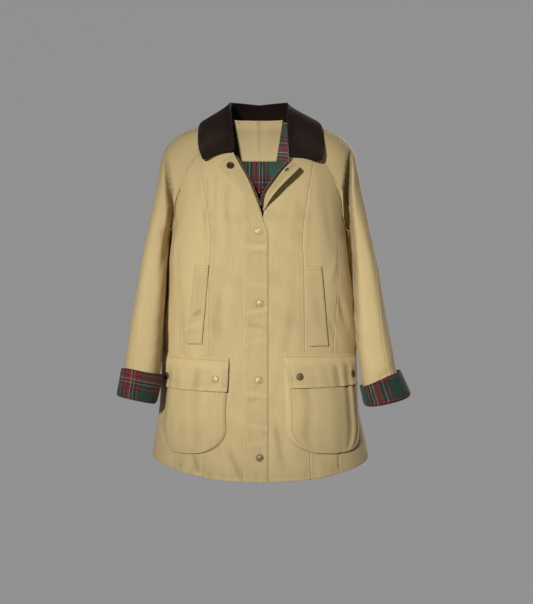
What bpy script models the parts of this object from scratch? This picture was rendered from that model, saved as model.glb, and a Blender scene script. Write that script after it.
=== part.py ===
"""Barn jacket: khaki twill shell, corduroy collar, plaid lining and turned-back cuffs.

The jacket is filled out as if worn, and hollow. Units are metres, +Z up, the front faces -Y, and
the wearer's left side is +X. The origin is the middle of the line between the two side neck points,
where the shoulders hold the jacket up. The body is a ring at each height. Every panel is a grid laid
on that ring between its seams, and what lies on a panel is the same surface moved out.
"""
import math
from collections import namedtuple

import bmesh
import bpy
from mathutils import Vector

# ---------------------------------------------------------------- driving dimensions
SHELL = 0.0015              # twill shell thickness
LINING = 0.0010             # plaid lining thickness
LINING_DEPTH = 0.0028       # outer face of the shell to the outer face of the lining
CORD = 0.0020               # corduroy, one leaf
SEAM = 0.0004               # gap between two pieces at a seam
LINING_HEM = 0.030          # lining ends this far above the hem
LINING_TOP = -0.075         # top of a front's lining at its outer edge
LINING_SIDE = 8.0           # its outer edge lies this many half seam gaps inside the side seam
LINING_BACK_OFF = 0.0040    # its inner edge, and its top, this far inside the front's
LINING_LEVELS = 5           # its rows above the armhole
CHEST_TOP = -0.200          # height above which the body draws in to the shoulder
RIDGE_Y = 0.005             # shoulder ridge, behind the side line
FRONT_ROUND = 1.9           # roundness of the chest up to the shoulder
BACK_ROUND = 2.6            # roundness of the back up to the shoulder
SETTLE = 0.008              # the chest settles into the shoulder over about this height
SIDE_HEM = -0.697           # hem height beside the front and the back
SIDE_RISE = 0.0110          # how much higher it is right at the side
FRONT_DIP = 0.0265          # how much lower the hem is at the centre front
BACK_DIP = 0.008            # how much lower the hem is at the centre back
HEM_LEAN = {"right": 0.0010, "left": 0.0034}    # the hem hangs up on the right and down on the left
UNDERARM = Vector((0.1812, 0.0, -0.222))
ZIP_X = -0.023              # line where the two fronts meet under the fly
FLY_INNER = -0.031          # seam of the fly on the wearer's right front
FLY_OUTER = 0.0185          # free edge of the fly
FLY_LIFT = 0.0004
FLY_THICK = 0.0020
FLY_LEVELS = (-0.208, -0.190, -0.172, -0.150, -0.130, -0.113)   # rows above the armhole
FLY_NARROWS = 0.0125        # how much narrower it is at its top
FLY_NARROW_FROM = -0.236    # from this height, over the next length
FLY_NARROW_OVER = 0.046
FLY_BEHIND = 0.001          # and how far it stays behind the fold line
SNAP_RADIUS = 0.0074
SNAP_HEIGHT = 0.0026
SNAP_CLEAR = 0.0003
CUFF_DEPTH = 0.050
CUFF_THICK = 0.0020
POCKET_DEEP = 0.0062        # bellows pocket, outer face above the panel
POCKET_WALL = 0.0015
POCKET_ROUND_WIDE = 0.62    # rounded corner, as a share of half the pocket's width
POCKET_ROUND_HIGH = 0.058   # and its height
POCKET_BOW = 0.004          # how much the bottom edge bows
POCKET_EDGE = 0.0012        # sewn edge of a pocket above the panel
POCKET_FOOT_WIDE = 1.004    # the sewn edge reaches past the pocket's face, as a share of its width
POCKET_FOOT_LOW = 0.0005    # and down
POCKET_MIDDLE = -0.600      # height at which a pocket's inner edge is measured
FLAP_THICK = 0.0020
FLAP_CLEAR = 0.0012
FLAP_EASE = 0.25            # share of its drop over which a flap rises over the pocket
FLAP_CROWD = 1.5            # its rows crowd together towards its top
WELT_LIFT = 0.0015
WELT_THICK = 0.0020

# ---------------------------------------------------------------- the body, a row for each height
BodyRow = namedtuple("BodyRow", "height half_width front_depth back_depth corner shift")
BODY = (
    BodyRow(-0.760, 0.2330, 0.152, 0.158, 2.10, 0.0030),
    BodyRow(-0.700, 0.2285, 0.149, 0.154, 2.10, 0.0030),
    BodyRow(-0.630, 0.2165, 0.144, 0.147, 2.20, 0.0010),
    BodyRow(-0.590, 0.2095, 0.141, 0.141, 2.30, 0.0000),
    BodyRow(-0.520, 0.2050, 0.135, 0.130, 2.25, -0.0003),
    BodyRow(-0.420, 0.2000, 0.128, 0.118, 2.40, 0.0005),
    BodyRow(-0.340, 0.1920, 0.129, 0.118, 2.75, 0.0030),
    BodyRow(-0.275, 0.1885, 0.131, 0.123, 2.85, 0.0015),
    BodyRow(-0.222, 0.1808, 0.130, 0.125, 2.85, 0.0000),
    BodyRow(-0.200, 0.1800, 0.128, 0.124, 2.85, 0.0000),
)
# Seams of the front, as the distance from the centre at each height.
SeamRow = namedtuple("SeamRow", "height princess side")
SEAMS = (
    SeamRow(-0.730, 0.1085, 0.1650),
    SeamRow(-0.600, 0.1020, 0.1560),
    SeamRow(-0.465, 0.0965, 0.1520),
    SeamRow(-0.400, 0.0960, 0.1560),
    SeamRow(-0.300, 0.0945, 0.1650),
    SeamRow(-0.240, 0.0920, 0.1700),
    SeamRow(-0.175, 0.0995, 0.1720),
    SeamRow(-0.093, 0.1135, 0.1720),
    SeamRow(-0.065, 0.1190, 0.1720),
)
PRINCESS_SKEW = 0.004       # the two princess seams hang this much to the wearer's right
# Shoulder ridge: its height at each distance from the centre.
RidgeRow = namedtuple("RidgeRow", "across height")
RIDGE = (
    RidgeRow(0.000, 0.045),
    RidgeRow(0.050, 0.032),
    RidgeRow(0.072, 0.020),
    RidgeRow(0.090, 0.013),
    RidgeRow(0.137, -0.006),
    RidgeRow(0.175, -0.024),
    RidgeRow(0.200, -0.045),
)
# Raglan seam stations from the underarm (first row) to the neck (last row): distance from the centre and
# height of the front seam, of the back seam and of the sleeve's outer line between them, and how far the
# sleeve bulges out past the seam in front and behind.
Station = namedtuple("Station", "front_x front_z back_x back_z top_x top_z bulge_x bulge_y")
RAGLAN = (
    Station(0.1812, -0.222, 0.1812, -0.222, 0.2330, -0.222, 0.2070, 0.078),
    Station(0.1765, -0.208, 0.1765, -0.208, 0.2270, -0.187, 0.2020, 0.079),
    Station(0.1720, -0.190, 0.1720, -0.192, 0.2195, -0.151, 0.1960, 0.080),
    Station(0.1690, -0.162, 0.1660, -0.165, 0.2130, -0.119, 0.1880, 0.081),
    Station(0.1590, -0.136, 0.1540, -0.134, 0.2080, -0.089, 0.1730, 0.083),
    Station(0.1465, -0.107, 0.1400, -0.103, 0.1990, -0.053, 0.1540, 0.086),
    Station(0.1225, -0.0705, 0.1160, -0.062, 0.1720, -0.022, 0.1240, 0.085),
    Station(0.0990, -0.045, 0.0880, -0.020, 0.1250, -0.001, 0.1000, 0.078),
    Station(0.0760, -0.0175, 0.0600, 0.0190, 0.0720, 0.020, 0.0760, 0.060),
)
SIDE_STATION = 2            # the side seam meets the raglan seam here
FLAT_STATION = 4            # past this station the sleeve lies flat over the shoulder
SEAM_OUT = 0.8              # gap at the raglan seam, as a share of a seam gap: sideways up to there
SEAM_OVER = 0.7             # and sideways and up past it
BULGE_LEAST = 0.02          # the sleeve always bulges this share of the way to its outer line
PRINCESS_STATION = 6        # the princess seam meets it here
BACK_NECK = 0.0210          # height of the neckline at the centre back
# Sleeves below the underarm: height of the ring's middle, its inner and outer edges, how far forward it
# lies, half its front-to-back width, and how it leans out and forward (degrees).
SleeveRow = namedtuple("SleeveRow", "height inner outer forward half_deep lean_out lean_front")
SLEEVES = {
    "right": (
        SleeveRow(-0.561, 0.2105, 0.2785, 0.108, 0.0440, 12.5, 4.0),
        SleeveRow(-0.520, 0.2018, 0.2710, 0.096, 0.0460, 11.5, 5.0),
        SleeveRow(-0.475, 0.1990, 0.2672, 0.080, 0.0515, 9.5, 6.0),
        SleeveRow(-0.420, 0.1992, 0.2620, 0.058, 0.0590, 7.5, 6.0),
        SleeveRow(-0.360, 0.1962, 0.2545, 0.036, 0.0665, 5.0, 5.0),
        SleeveRow(-0.300, 0.1927, 0.2464, 0.018, 0.0735, 3.0, 3.0),
        SleeveRow(-0.252, 0.1883, 0.2390, 0.006, 0.0770, 1.0, 1.0),
        SleeveRow(-0.222, 0.1815, 0.2330, 0.000, 0.0780, 0.0, 0.0),
    ),
    "left": (
        SleeveRow(-0.561, 0.2155, 0.2985, 0.108, 0.0440, 13.5, -5.0),
        SleeveRow(-0.526, 0.2106, 0.2790, 0.096, 0.0460, 23.5, 3.0),
        SleeveRow(-0.475, 0.2040, 0.2705, 0.080, 0.0515, 18.0, 6.0),
        SleeveRow(-0.420, 0.2015, 0.2628, 0.058, 0.0590, 13.0, 6.0),
        SleeveRow(-0.360, 0.1998, 0.2552, 0.036, 0.0665, 9.0, 5.0),
        SleeveRow(-0.300, 0.1978, 0.2480, 0.018, 0.0735, 5.0, 3.0),
        SleeveRow(-0.252, 0.1926, 0.2392, 0.006, 0.0770, 2.0, 1.0),
        SleeveRow(-0.222, 0.1815, 0.2330, 0.000, 0.0780, 0.0, 0.0),
    ),
}
SLEEVE_RINGS = (-0.246, -0.280, -0.325, -0.375, -0.425, -0.475, -0.520, -0.561)
SLEEVE_GIRTH = 0.245        # rough distance round a sleeve
SLEEVE_POWER = 0.86         # squareness of a sleeve's section
FOLD_START = 0.002          # an armhole fold sinks from this far inside its middle
FOLD_SINK = 0.0055          # over this width
FOLD_HOLD = 0.003           # and rises again from here
FOLD_SEAM = 0.012           # it stays this far off the raglan seam
FOLD_REACH = (0.22, 0.15)   # and dies out round the sleeve from this share, over the next
CUFF_RISE = {"right": 0.0500, "left": 0.0375}
# Deep fold down the front of each armhole: its middle, and how deep and how wide it is.
ArmholeRow = namedtuple("ArmholeRow", "height middle deep wide")
ARMHOLES = {
    "right": (
        ArmholeRow(-0.300, 0.1900, 0.000, 0.0160),
        ArmholeRow(-0.250, 0.1850, 0.014, 0.0170),
        ArmholeRow(-0.215, 0.1765, 0.022, 0.0180),
        ArmholeRow(-0.183, 0.1735, 0.028, 0.0190),
        ArmholeRow(-0.140, 0.1775, 0.026, 0.0190),
        ArmholeRow(-0.105, 0.1830, 0.014, 0.0150),
        ArmholeRow(-0.071, 0.1890, 0.000, 0.0100),
    ),
    "left": (
        ArmholeRow(-0.340, 0.1960, 0.000, 0.0150),
        ArmholeRow(-0.283, 0.1900, 0.018, 0.0160),
        ArmholeRow(-0.215, 0.1780, 0.034, 0.0190),
        ArmholeRow(-0.180, 0.1745, 0.040, 0.0200),
        ArmholeRow(-0.140, 0.1735, 0.040, 0.0200),
        ArmholeRow(-0.095, 0.1790, 0.024, 0.0160),
        ArmholeRow(-0.046, 0.1863, 0.000, 0.0080),
    ),
}
# Turned-back top corners of the fronts: fold line and free edge from the bottom of the V to the neck.
LapelRow = namedtuple("LapelRow", "along fold_x fold_z free_x free_z")
LAPELS = {
    "right": (
        LapelRow(0.00, 0.0060, -0.1900, 0.0010, -0.1885),
        LapelRow(0.25, -0.0060, -0.1580, -0.0208, -0.1635),
        LapelRow(0.50, -0.0190, -0.1265, -0.0400, -0.1415),
        LapelRow(0.75, -0.0345, -0.0975, -0.0600, -0.1195),
        LapelRow(1.00, -0.0505, -0.0680, -0.0795, -0.0990),
    ),
    "left": (
        LapelRow(0.00, 0.0085, -0.1860, 0.0112, -0.1870),
        LapelRow(0.25, 0.0130, -0.1550, 0.0245, -0.1655),
        LapelRow(0.50, 0.0310, -0.1275, 0.0437, -0.1432),
        LapelRow(0.75, 0.0480, -0.1045, 0.0605, -0.1260),
        LapelRow(1.00, 0.0660, -0.0850, 0.0785, -0.1080),
    ),
}
V_TOP = {"right": (0.0500, -0.0660), "left": (0.0660, -0.0800)}
LAPEL_LIFT = {"right": 0.0044, "left": 0.0034}      # outer face above the panel at the fold
LAPEL_SPRING = {"right": 0.0035, "left": 0.0200}    # and how much more at the free corner
SPRING_ALONG = 0.42         # share of the corner over which it springs out
EDGE_SHORT = 0.0026         # a front ends this far short of its fold line, under the corner
ZIP_THICK = 0.0010
ZIP_FACE = {"right": -0.0018, "left": 0.0013}       # outer face above the panel's
ZIP_EDGES = {"right": (-0.0065, 0.0045), "left": (0.0045, -0.0065)}     # from the fold line
ZIP_FOOT = -0.178
ZIP_TOP = {"right": -0.074, "left": -0.088}
# Collar: fold line and free edge from the front end (0) by the side neck to the centre back (3).
CollarRow = namedtuple("CollarRow", "along fold_x fold_y fold_z edge_x edge_y edge_z")
COLLARS = {
    "right": (
        CollarRow(0.00, 0.0500, -0.1110, -0.0620, 0.1110, -0.1060, -0.0870),
        CollarRow(0.50, 0.0545, -0.0850, -0.0220, 0.1215, -0.0980, -0.0560),
        CollarRow(1.00, 0.0590, -0.0500, 0.0140, 0.1245, -0.0580, -0.0130),
        CollarRow(1.33, 0.0625, -0.0180, 0.0380, 0.1215, -0.0180, 0.0070),
        CollarRow(1.66, 0.0632, 0.0200, 0.0545, 0.1130, 0.0350, 0.0140),
        CollarRow(2.00, 0.0590, 0.0480, 0.0605, 0.0930, 0.0700, 0.0130),
        CollarRow(2.50, 0.0310, 0.0690, 0.0620, 0.0500, 0.0950, 0.0100),
        CollarRow(3.00, 0.0000, 0.0760, 0.0600, 0.0000, 0.1020, 0.0090),
    ),
    "left": (
        CollarRow(0.00, 0.0640, -0.1060, -0.0740, 0.1254, -0.1050, -0.0935),
        CollarRow(0.50, 0.0620, -0.0850, -0.0280, 0.1320, -0.0960, -0.0610),
        CollarRow(1.00, 0.0610, -0.0500, 0.0140, 0.1320, -0.0580, -0.0150),
        CollarRow(1.33, 0.0620, -0.0180, 0.0380, 0.1265, -0.0180, 0.0065),
        CollarRow(1.66, 0.0610, 0.0200, 0.0545, 0.1150, 0.0350, 0.0135),
        CollarRow(2.00, 0.0575, 0.0480, 0.0605, 0.0930, 0.0700, 0.0130),
        CollarRow(2.50, 0.0310, 0.0690, 0.0620, 0.0500, 0.0950, 0.0100),
        CollarRow(3.00, 0.0000, 0.0760, 0.0600, 0.0000, 0.1020, 0.0090),
    ),
}
COLLAR_LIFT = 0.0007        # stand above the neckline
COLLAR_INSET = 0.0016       # and inside it
FOLD_RADIUS = 0.0034
COLLAR_BULGE = 0.0050       # how far the fall arches up in front
NECK_BULGE = 0.0036         # and beside the neck and behind it
FRONT_BULGE = (0.5, 0.7)    # the front arch dies out from this place, over the next length
COLLAR_HALF = 11            # columns of half the collar
COLLAR_STEPS = 7            # rows, from the stand's foot to the free edge
# Pockets, flaps and welts: edges as distances from the centre or angles round the body.
PocketRow = namedtuple("PocketRow", "inner_x outer_angle top bottom")
POCKETS = {
    "right": PocketRow(0.0650, 66.0, -0.498, -0.6720),
    "left": PocketRow(0.0520, 69.0, -0.498, -0.6720),
}
# Flaps: height of the top edge and length of each end, and how much the inner end slants.
FlapRow = namedtuple("FlapRow", "top_in top_out drop_in drop_out slant")
FLAPS = {
    "right": FlapRow(-0.4797, -0.4725, 0.0680, 0.0680, 0.012),
    "left": FlapRow(-0.4709, -0.4741, 0.0695, 0.0626, 0.070),
}
FLAP_OVER = 0.02            # how far a flap reaches past the pocket, as a share of its width
FlapSnap = namedtuple("FlapSnap", "side across height")
FLAP_SNAPS = (
    FlapSnap("right", 0.0830, -0.5230),
    FlapSnap("right", 0.1800, -0.5200),
    FlapSnap("left", 0.0720, -0.5180),
    FlapSnap("left", 0.1830, -0.5150),
)
FLY_SNAPS = (-0.2280, -0.3720, -0.5240, -0.6760)
WeltRow = namedtuple("WeltRow", "top_in top_out bottom_in bottom_out top bottom")
WELTS = {
    "right": WeltRow(0.0985, 0.1265, 0.1125, 0.1415, -0.2945, -0.4530),
    "left": WeltRow(0.0930, 0.1245, 0.1020, 0.1390, -0.2975, -0.4570),
}
# Neck patch: half width and height at its top and bottom.
PATCH_TOP = (0.0545, 0.0270)
PATCH_BOTTOM = (0.0400, -0.0570)
PATCH_SHIFT = -0.002
PATCH_THICK = 0.0010
PATCH_CLEAR = 0.0048         # inside the lining
PATCH_BEND = 0.0150         # the patch stands up past this height
PATCH_SOFT = 0.0060         # and bends over about this much
PATCH_LEAN = 0.70           # forward for each metre it stands up

# ---------------------------------------------------------------- grid sizes
HEM_ROWS = 7                # rows from the hem to the armhole
ARM_BREAK = -0.240          # panels have a row at this height
BACK_LEVELS = 9             # rows of the back above it
BACK_CROWD = 0.75           # which crowd together towards the neck
FRONT_LEVELS = (-0.215, -0.190, -0.162, -0.136, -0.107, -0.0705, -0.045, -0.0175)
SIDE_LEVELS = 6             # the side panel ends where the princess seam meets the raglan seam
SLEEVE_STEPS = (5, 4, 4, 3)     # seam to front fold, outer line, back fold and seam

SIGN = {"right": -1.0, "left": 1.0}
COLLECTION_NAME = "Barn jacket"


# ---------------------------------------------------------------- numbers
def mix(first, second, share):
    """Straight blend of two numbers or points."""
    return first * (1.0 - share) + second * share


def smooth_step(share):
    """0 to 1 with soft ends."""
    share = min(max(share, 0.0), 1.0)
    return share * share * (3.0 - 2.0 * share)


def read(rows, key, column, at):
    """A column of a table at a place between its rows, along a smooth curve."""
    places = [getattr(row, key) for row in rows]
    values = [getattr(row, column) for row in rows]
    if at <= places[0]:
        return values[0]
    if at >= places[-1]:
        return values[-1]
    low = max(i for i in range(len(rows) - 1) if places[i] <= at)
    slopes = []
    for i in (low, low + 1):
        before, after = max(i - 1, 0), min(i + 1, len(rows) - 1)
        slopes.append((values[after] - values[before]) / (places[after] - places[before]))
    span = places[low + 1] - places[low]
    t = (at - places[low]) / span
    rise = values[low] * (2 * t ** 3 - 3 * t ** 2 + 1) + values[low + 1] * (3 * t ** 2 - 2 * t ** 3)
    return rise + span * (slopes[0] * (t ** 3 - 2 * t ** 2 + t) + slopes[1] * (t ** 3 - t ** 2))


# ---------------------------------------------------------------- the body surface
def body(column, height):
    """One value of the body's table at a height, settling softly above the chest."""
    above = SETTLE * math.log1p(math.exp((CHEST_TOP - height) / SETTLE))
    return read(BODY, "height", column, CHEST_TOP - above)


def body_point(angle, height):
    """Point of the body; angle 0 is the centre front, 90 degrees the wearer's left side."""
    power = 2.0 / body("corner", height)
    sine, cosine = math.sin(angle), math.cos(angle)
    across = body("half_width", height) * math.copysign(abs(sine) ** power, sine)
    front = cosine > 0.0
    depth = body("front_depth" if front else "back_depth", height)
    y = -math.copysign(depth * abs(cosine) ** power, cosine)
    if height > CHEST_TOP:
        ridge = read(RIDGE, "across", "height", abs(across))
        rise = min((height - CHEST_TOP) / (ridge - CHEST_TOP), 1.0)
        roundness = FRONT_ROUND if front else BACK_ROUND
        y = RIDGE_Y + (y - RIDGE_Y) * (1.0 - rise ** roundness) ** (1.0 / roundness)
    return Vector((across + body("shift", height), y, height))


def moved_out(angle, height, offset):
    """Point of the body moved out along the surface's normal."""
    step = 0.002
    point = body_point(angle, height)
    if offset == 0.0:
        return point
    across = body_point(angle + step, height) - body_point(angle - step, height)
    top = height if height > CHEST_TOP else height + step
    upward = body_point(angle, top) - body_point(angle, height - step)
    return point + across.cross(upward).normalized() * offset


def front_angle(across, height):
    """Angle of the front surface at a signed distance from the centre."""
    from_middle = across - body("shift", height)
    share = min(abs(from_middle) / body("half_width", height), 1.0)
    return math.copysign(math.asin(share ** (body("corner", height) / 2.0)), from_middle)


def seam_angle(column, side, height):
    """Angle of a front seam at a height."""
    skew = -PRINCESS_SKEW if column == "princess" else 0.0
    return front_angle(SIGN[side] * read(SEAMS, "height", column, height) + skew, height)


def hem_height(angle):
    """Height of the hem round the body."""
    cosine = math.cos(angle)
    sine = math.sin(angle)
    dip = FRONT_DIP if cosine > 0.0 else BACK_DIP
    lean = HEM_LEAN["left" if sine > 0.0 else "right"] * sine
    return SIDE_HEM - dip * abs(cosine) ** 1.3 + SIDE_RISE * abs(sine) ** 2.2 - lean


def raglan_angle(station, face):
    """Angle of a raglan station on the front or the back."""
    row = RAGLAN[station]
    if station == 0:
        return math.pi / 2.0
    if station == 1:
        low = front_angle(row.front_x, row.front_z)
        return low if face == "front" else math.pi - low
    if face == "front":
        return front_angle(row.front_x, row.front_z)
    return math.pi - front_angle(row.back_x, row.back_z)


def raglan_height(station, face):
    """Height of a raglan station on the front or the back."""
    return RAGLAN[station].front_z if face == "front" else RAGLAN[station].back_z


def fold_x(side, height):
    """Signed distance of a lapel's fold line from the centre at a height."""
    rows = LAPELS[side]
    low, high = rows[0], rows[-1]
    if height <= low.fold_z:
        slope = (rows[1].fold_x - low.fold_x) / (rows[1].fold_z - low.fold_z)
        return low.fold_x + slope * (height - low.fold_z)
    if height >= high.fold_z:
        return high.fold_x
    return read(rows, "fold_z", "fold_x", height)


# ---------------------------------------------------------------- making objects
def material(name, colour, roughness, metallic=0.0):
    """Plain Principled material."""
    made = bpy.data.materials.new(name)
    made.use_nodes = True
    shader = made.node_tree.nodes["Principled BSDF"]
    shader.inputs["Base Color"].default_value = (*colour, 1.0)
    shader.inputs["Roughness"].default_value = roughness
    shader.inputs["Metallic"].default_value = metallic
    return made


def cloth(name, columns, rows, point, thickness, look, weld=False):
    """A sheet: a grid of columns by rows laid on point(u, v), then thickened. A tube is welded."""
    mesh = bpy.data.meshes.new(name)
    grid = bmesh.new()
    bmesh.ops.create_grid(grid, x_segments=columns, y_segments=rows, size=0.5)
    for vertex in grid.verts:
        vertex.co = point(vertex.co.x + 0.5, vertex.co.y + 0.5)
    if weld:
        bmesh.ops.remove_doubles(grid, verts=grid.verts, dist=0.00005)
    grid.to_mesh(mesh)
    grid.free()
    mesh.shade_smooth()
    mesh.materials.append(look)
    made = bpy.data.objects.new(name, mesh)
    COLLECTION.objects.link(made)
    shell = made.modifiers.new("Cloth thickness", "SOLIDIFY")
    shell.thickness = abs(thickness)
    shell.offset = -1.0 if thickness > 0.0 else 1.0
    shell.use_even_offset = True
    return made


def turned(name, profile, place, outward, look):
    """A turned piece: a profile of (radius, height) pairs, spun, with its axis pointing outward."""
    mesh = bpy.data.meshes.new(name)
    mesh.from_pydata([(radius, 0.0, up) for radius, up in profile],
                     [(i, i + 1) for i in range(len(profile) - 1)], [])
    mesh.materials.append(look)
    made = bpy.data.objects.new(name, mesh)
    COLLECTION.objects.link(made)
    made.location = place
    made.rotation_mode = "QUATERNION"
    made.rotation_quaternion = outward.to_track_quat("Z", "Y")
    spin = made.modifiers.new("Spin", "SCREW")
    spin.axis = "Z"
    spin.steps = 12
    spin.render_steps = 12
    spin.use_merge_vertices = True
    spin.merge_threshold = 0.00001
    return made


# ---------------------------------------------------------------- panels
def inset(angle, height, direction):
    """Angle half a seam gap inside a panel's edge."""
    step = 0.002
    speed = (body_point(angle + step, height) - body_point(angle - step, height)).length / (2.0 * step)
    return angle + direction * SEAM * 0.5 / speed


def centre_edge(side, height):
    """Signed distance of a front's centre edge: the zip line below, the fold line in the V."""
    turned_edge = fold_x(side, height) + SIGN[side] * EDGE_SHORT
    if side == "right":
        return min(ZIP_X - SEAM / 2.0, turned_edge)
    return max(ZIP_X + SEAM / 2.0, turned_edge)


def front_heights(side, u, v, levels, hem_lift):
    """Height of a row of a front panel; u is 0 at the outer seam and 1 at the inner one."""
    row = round(v * (HEM_ROWS + levels))
    outer = seam_angle("side" if levels == SIDE_LEVELS else "princess", side, SIDE_HEM)
    inner = seam_angle("princess", side, SIDE_HEM) if levels == SIDE_LEVELS else 0.0
    hem = hem_height(mix(outer, inner, u)) + hem_lift
    if row <= HEM_ROWS:
        return mix(hem, ARM_BREAK, row / HEM_ROWS)
    height = FRONT_LEVELS[row - HEM_ROWS - 1]
    if levels == SIDE_LEVELS:
        return height
    start, reach = FRONT_LEVELS[1], FRONT_LEVELS[-1]
    if height <= start:
        return height
    top = mix(reach, V_TOP[side][1], u) - SEAM
    return start + (height - start) * (top - start) / (reach - start)


def raglan_front(side, height):
    """Angle of the front raglan seam at a height."""
    across = read(RAGLAN[SIDE_STATION:], "front_z", "front_x", height)
    return front_angle(SIGN[side] * across, height)


def outer_front_seam(side, height):
    """Angle of the side panel's outer edge: the side seam, then the raglan seam."""
    if height <= RAGLAN[SIDE_STATION].front_z:
        return seam_angle("side", side, height)
    return raglan_front(side, height)


def princess_then_raglan(side, height):
    """Angle of the centre panel's outer edge: the princess seam, then the raglan seam."""
    if height <= RAGLAN[PRINCESS_STATION].front_z:
        return seam_angle("princess", side, height)
    return raglan_front(side, height)


def side_panel(side, look):
    """Front side panel, from the side seam to the princess seam."""
    def point(u, v):
        height = front_heights(side, u, v, SIDE_LEVELS, 0.0)
        outer = inset(outer_front_seam(side, height), height, -SIGN[side])
        inner = inset(seam_angle("princess", side, height), height, SIGN[side])
        return body_point(mix(outer, inner, u), height)
    return cloth(f"front_{side}_side", 5, HEM_ROWS + SIDE_LEVELS, point, facing(side) * SHELL, look)


def centre_panel(side, look):
    """Front centre panel, from the princess seam to the zip line and the fold line of the V."""
    levels = len(FRONT_LEVELS)

    def point(u, v):
        height = front_heights(side, u, v, levels, 0.0)
        outer = inset(princess_then_raglan(side, height), height, -SIGN[side])
        inner = front_angle(centre_edge(side, height), height)
        return body_point(mix(outer, inner, u), height)
    return cloth(f"front_{side}_centre", 6, HEM_ROWS + levels, point, facing(side) * SHELL, look)


def facing(side):
    """Sign that thickens a grid inwards, with its columns from the outer seam to the inner one."""
    return 1.0 if side == "right" else -1.0


def back_columns():
    """Columns of half the back, from the side seam to the centre: (top angle, top height)."""
    columns = [(raglan_angle(SIDE_STATION, "front"), raglan_height(SIDE_STATION, "front")),
               (raglan_angle(1, "front"), raglan_height(1, "front"))]
    columns += [(raglan_angle(i, "back"), raglan_height(i, "back")) for i in range(len(RAGLAN))]
    last = columns[-1][0]
    columns.append((mix(last, math.pi, 0.5), BACK_NECK - 0.0005))
    columns.append((math.pi, BACK_NECK))
    return columns


def back_panel(name, offset, thickness, hem_lift, top_drop, look):
    """The back, from side seam to side seam, or its lining."""
    half = back_columns()
    count = 2 * (len(half) - 1)
    upper = BACK_LEVELS

    def point(u, v):
        column = round(u * count)
        mirrored = column > len(half) - 1
        index = count - column if mirrored else column
        side = "right" if mirrored else "left"
        top_angle, top = half[index]
        row = round(v * (HEM_ROWS + upper))
        even = index / (len(half) - 1)
        start = seam_angle("side", side, SIDE_HEM) * SIGN[side]
        hem = hem_height(mix(start, math.pi, even) * (-1.0 if mirrored else 1.0)) + hem_lift
        if row <= HEM_ROWS:
            height = mix(hem, ARM_BREAK, row / HEM_ROWS)
        else:
            height = mix(ARM_BREAK, top - top_drop, ((row - HEM_ROWS) / upper) ** BACK_CROWD)
        side_now = outer_front_seam(side, min(height, RAGLAN[SIDE_STATION].front_z)) * SIGN[side]
        side_now = inset(side_now, height, 1.0)
        share_top = (top_angle - half[0][0]) / (math.pi - half[0][0])
        share = mix(even, share_top, smooth_step((height - hem) / (ARM_BREAK - hem)))
        angle = mix(side_now, math.pi, share)
        if mirrored:
            angle = -angle
        return moved_out(angle, height, offset)
    return cloth(name, count, HEM_ROWS + upper, point, thickness, look)


def front_lining(side, look):
    """Lining of one front, from the side seam to the fold line of the V."""
    def point(u, v):
        row = round(v * (HEM_ROWS + LINING_LEVELS))
        hem = hem_height(mix(seam_angle("side", side, SIDE_HEM), 0.0, u)) + LINING_HEM
        if row <= HEM_ROWS:
            height = mix(hem, ARM_BREAK, row / HEM_ROWS)
        else:
            top = mix(LINING_TOP, V_TOP[side][1] - LINING_BACK_OFF, u)
            height = mix(ARM_BREAK, top, (row - HEM_ROWS) / LINING_LEVELS)
        outer = inset(outer_front_seam(side, height), height, -LINING_SIDE * SIGN[side])
        edge = centre_edge(side, height) + SIGN[side] * LINING_BACK_OFF
        return moved_out(mix(outer, front_angle(edge, height), u), height, -LINING_DEPTH)
    return cloth(f"lining_front_{side}", 9, HEM_ROWS + LINING_LEVELS, point, facing(side) * LINING, look)


# ---------------------------------------------------------------- sleeves and cuffs
def quarter(first, second, centre, share):
    """Quarter of a rounded section from one point to the next, round a centre."""
    turn = share * math.pi / 2.0
    fall, rise = math.cos(turn) ** SLEEVE_POWER, math.sin(turn) ** SLEEVE_POWER
    return centre + (first - centre) * fall + (second - centre) * rise


def sleeve_ring(side, height):
    """Centre, outward half axis, front half axis and downward direction of a sleeve's ring."""
    rows = sorted(SLEEVES[side], key=lambda row: row.height)
    inner, outer = read(rows, "height", "inner", height), read(rows, "height", "outer", height)
    lean = math.radians(read(rows, "height", "lean_out", height))
    front = math.radians(read(rows, "height", "lean_front", height))
    centre = Vector(((inner + outer) / 2.0, -read(rows, "height", "forward", height), height))
    out_axis = Vector((math.cos(lean), 0.0, math.sin(lean)))
    front_axis = Vector((0.0, -math.cos(front), math.sin(front)))
    down = out_axis.cross(front_axis).normalized()
    if down.z > 0.0:
        down = -down
    half = (outer - inner) / 2.0 / math.cos(lean)
    return centre, out_axis * half, front_axis * read(rows, "height", "half_deep", height), down


def ring_point(centre, out_axis, front_axis, u):
    """Point of a closed ring; u runs from the inner line by the front, outer line and back."""
    corners = (centre - out_axis, centre + front_axis, centre + out_axis, centre - front_axis)
    part = min(int(u * 4.0), 3)
    return quarter(corners[part], corners[(part + 1) % 4], centre, u * 4.0 - part)


def column_share(column):
    """Share round a sleeve of a column, 0 to 1, with SLEEVE_STEPS columns in each quarter."""
    for part, steps in enumerate(SLEEVE_STEPS):
        if column <= steps:
            return (part + column / steps) / 4.0
        column -= steps
    return 1.0


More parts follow.
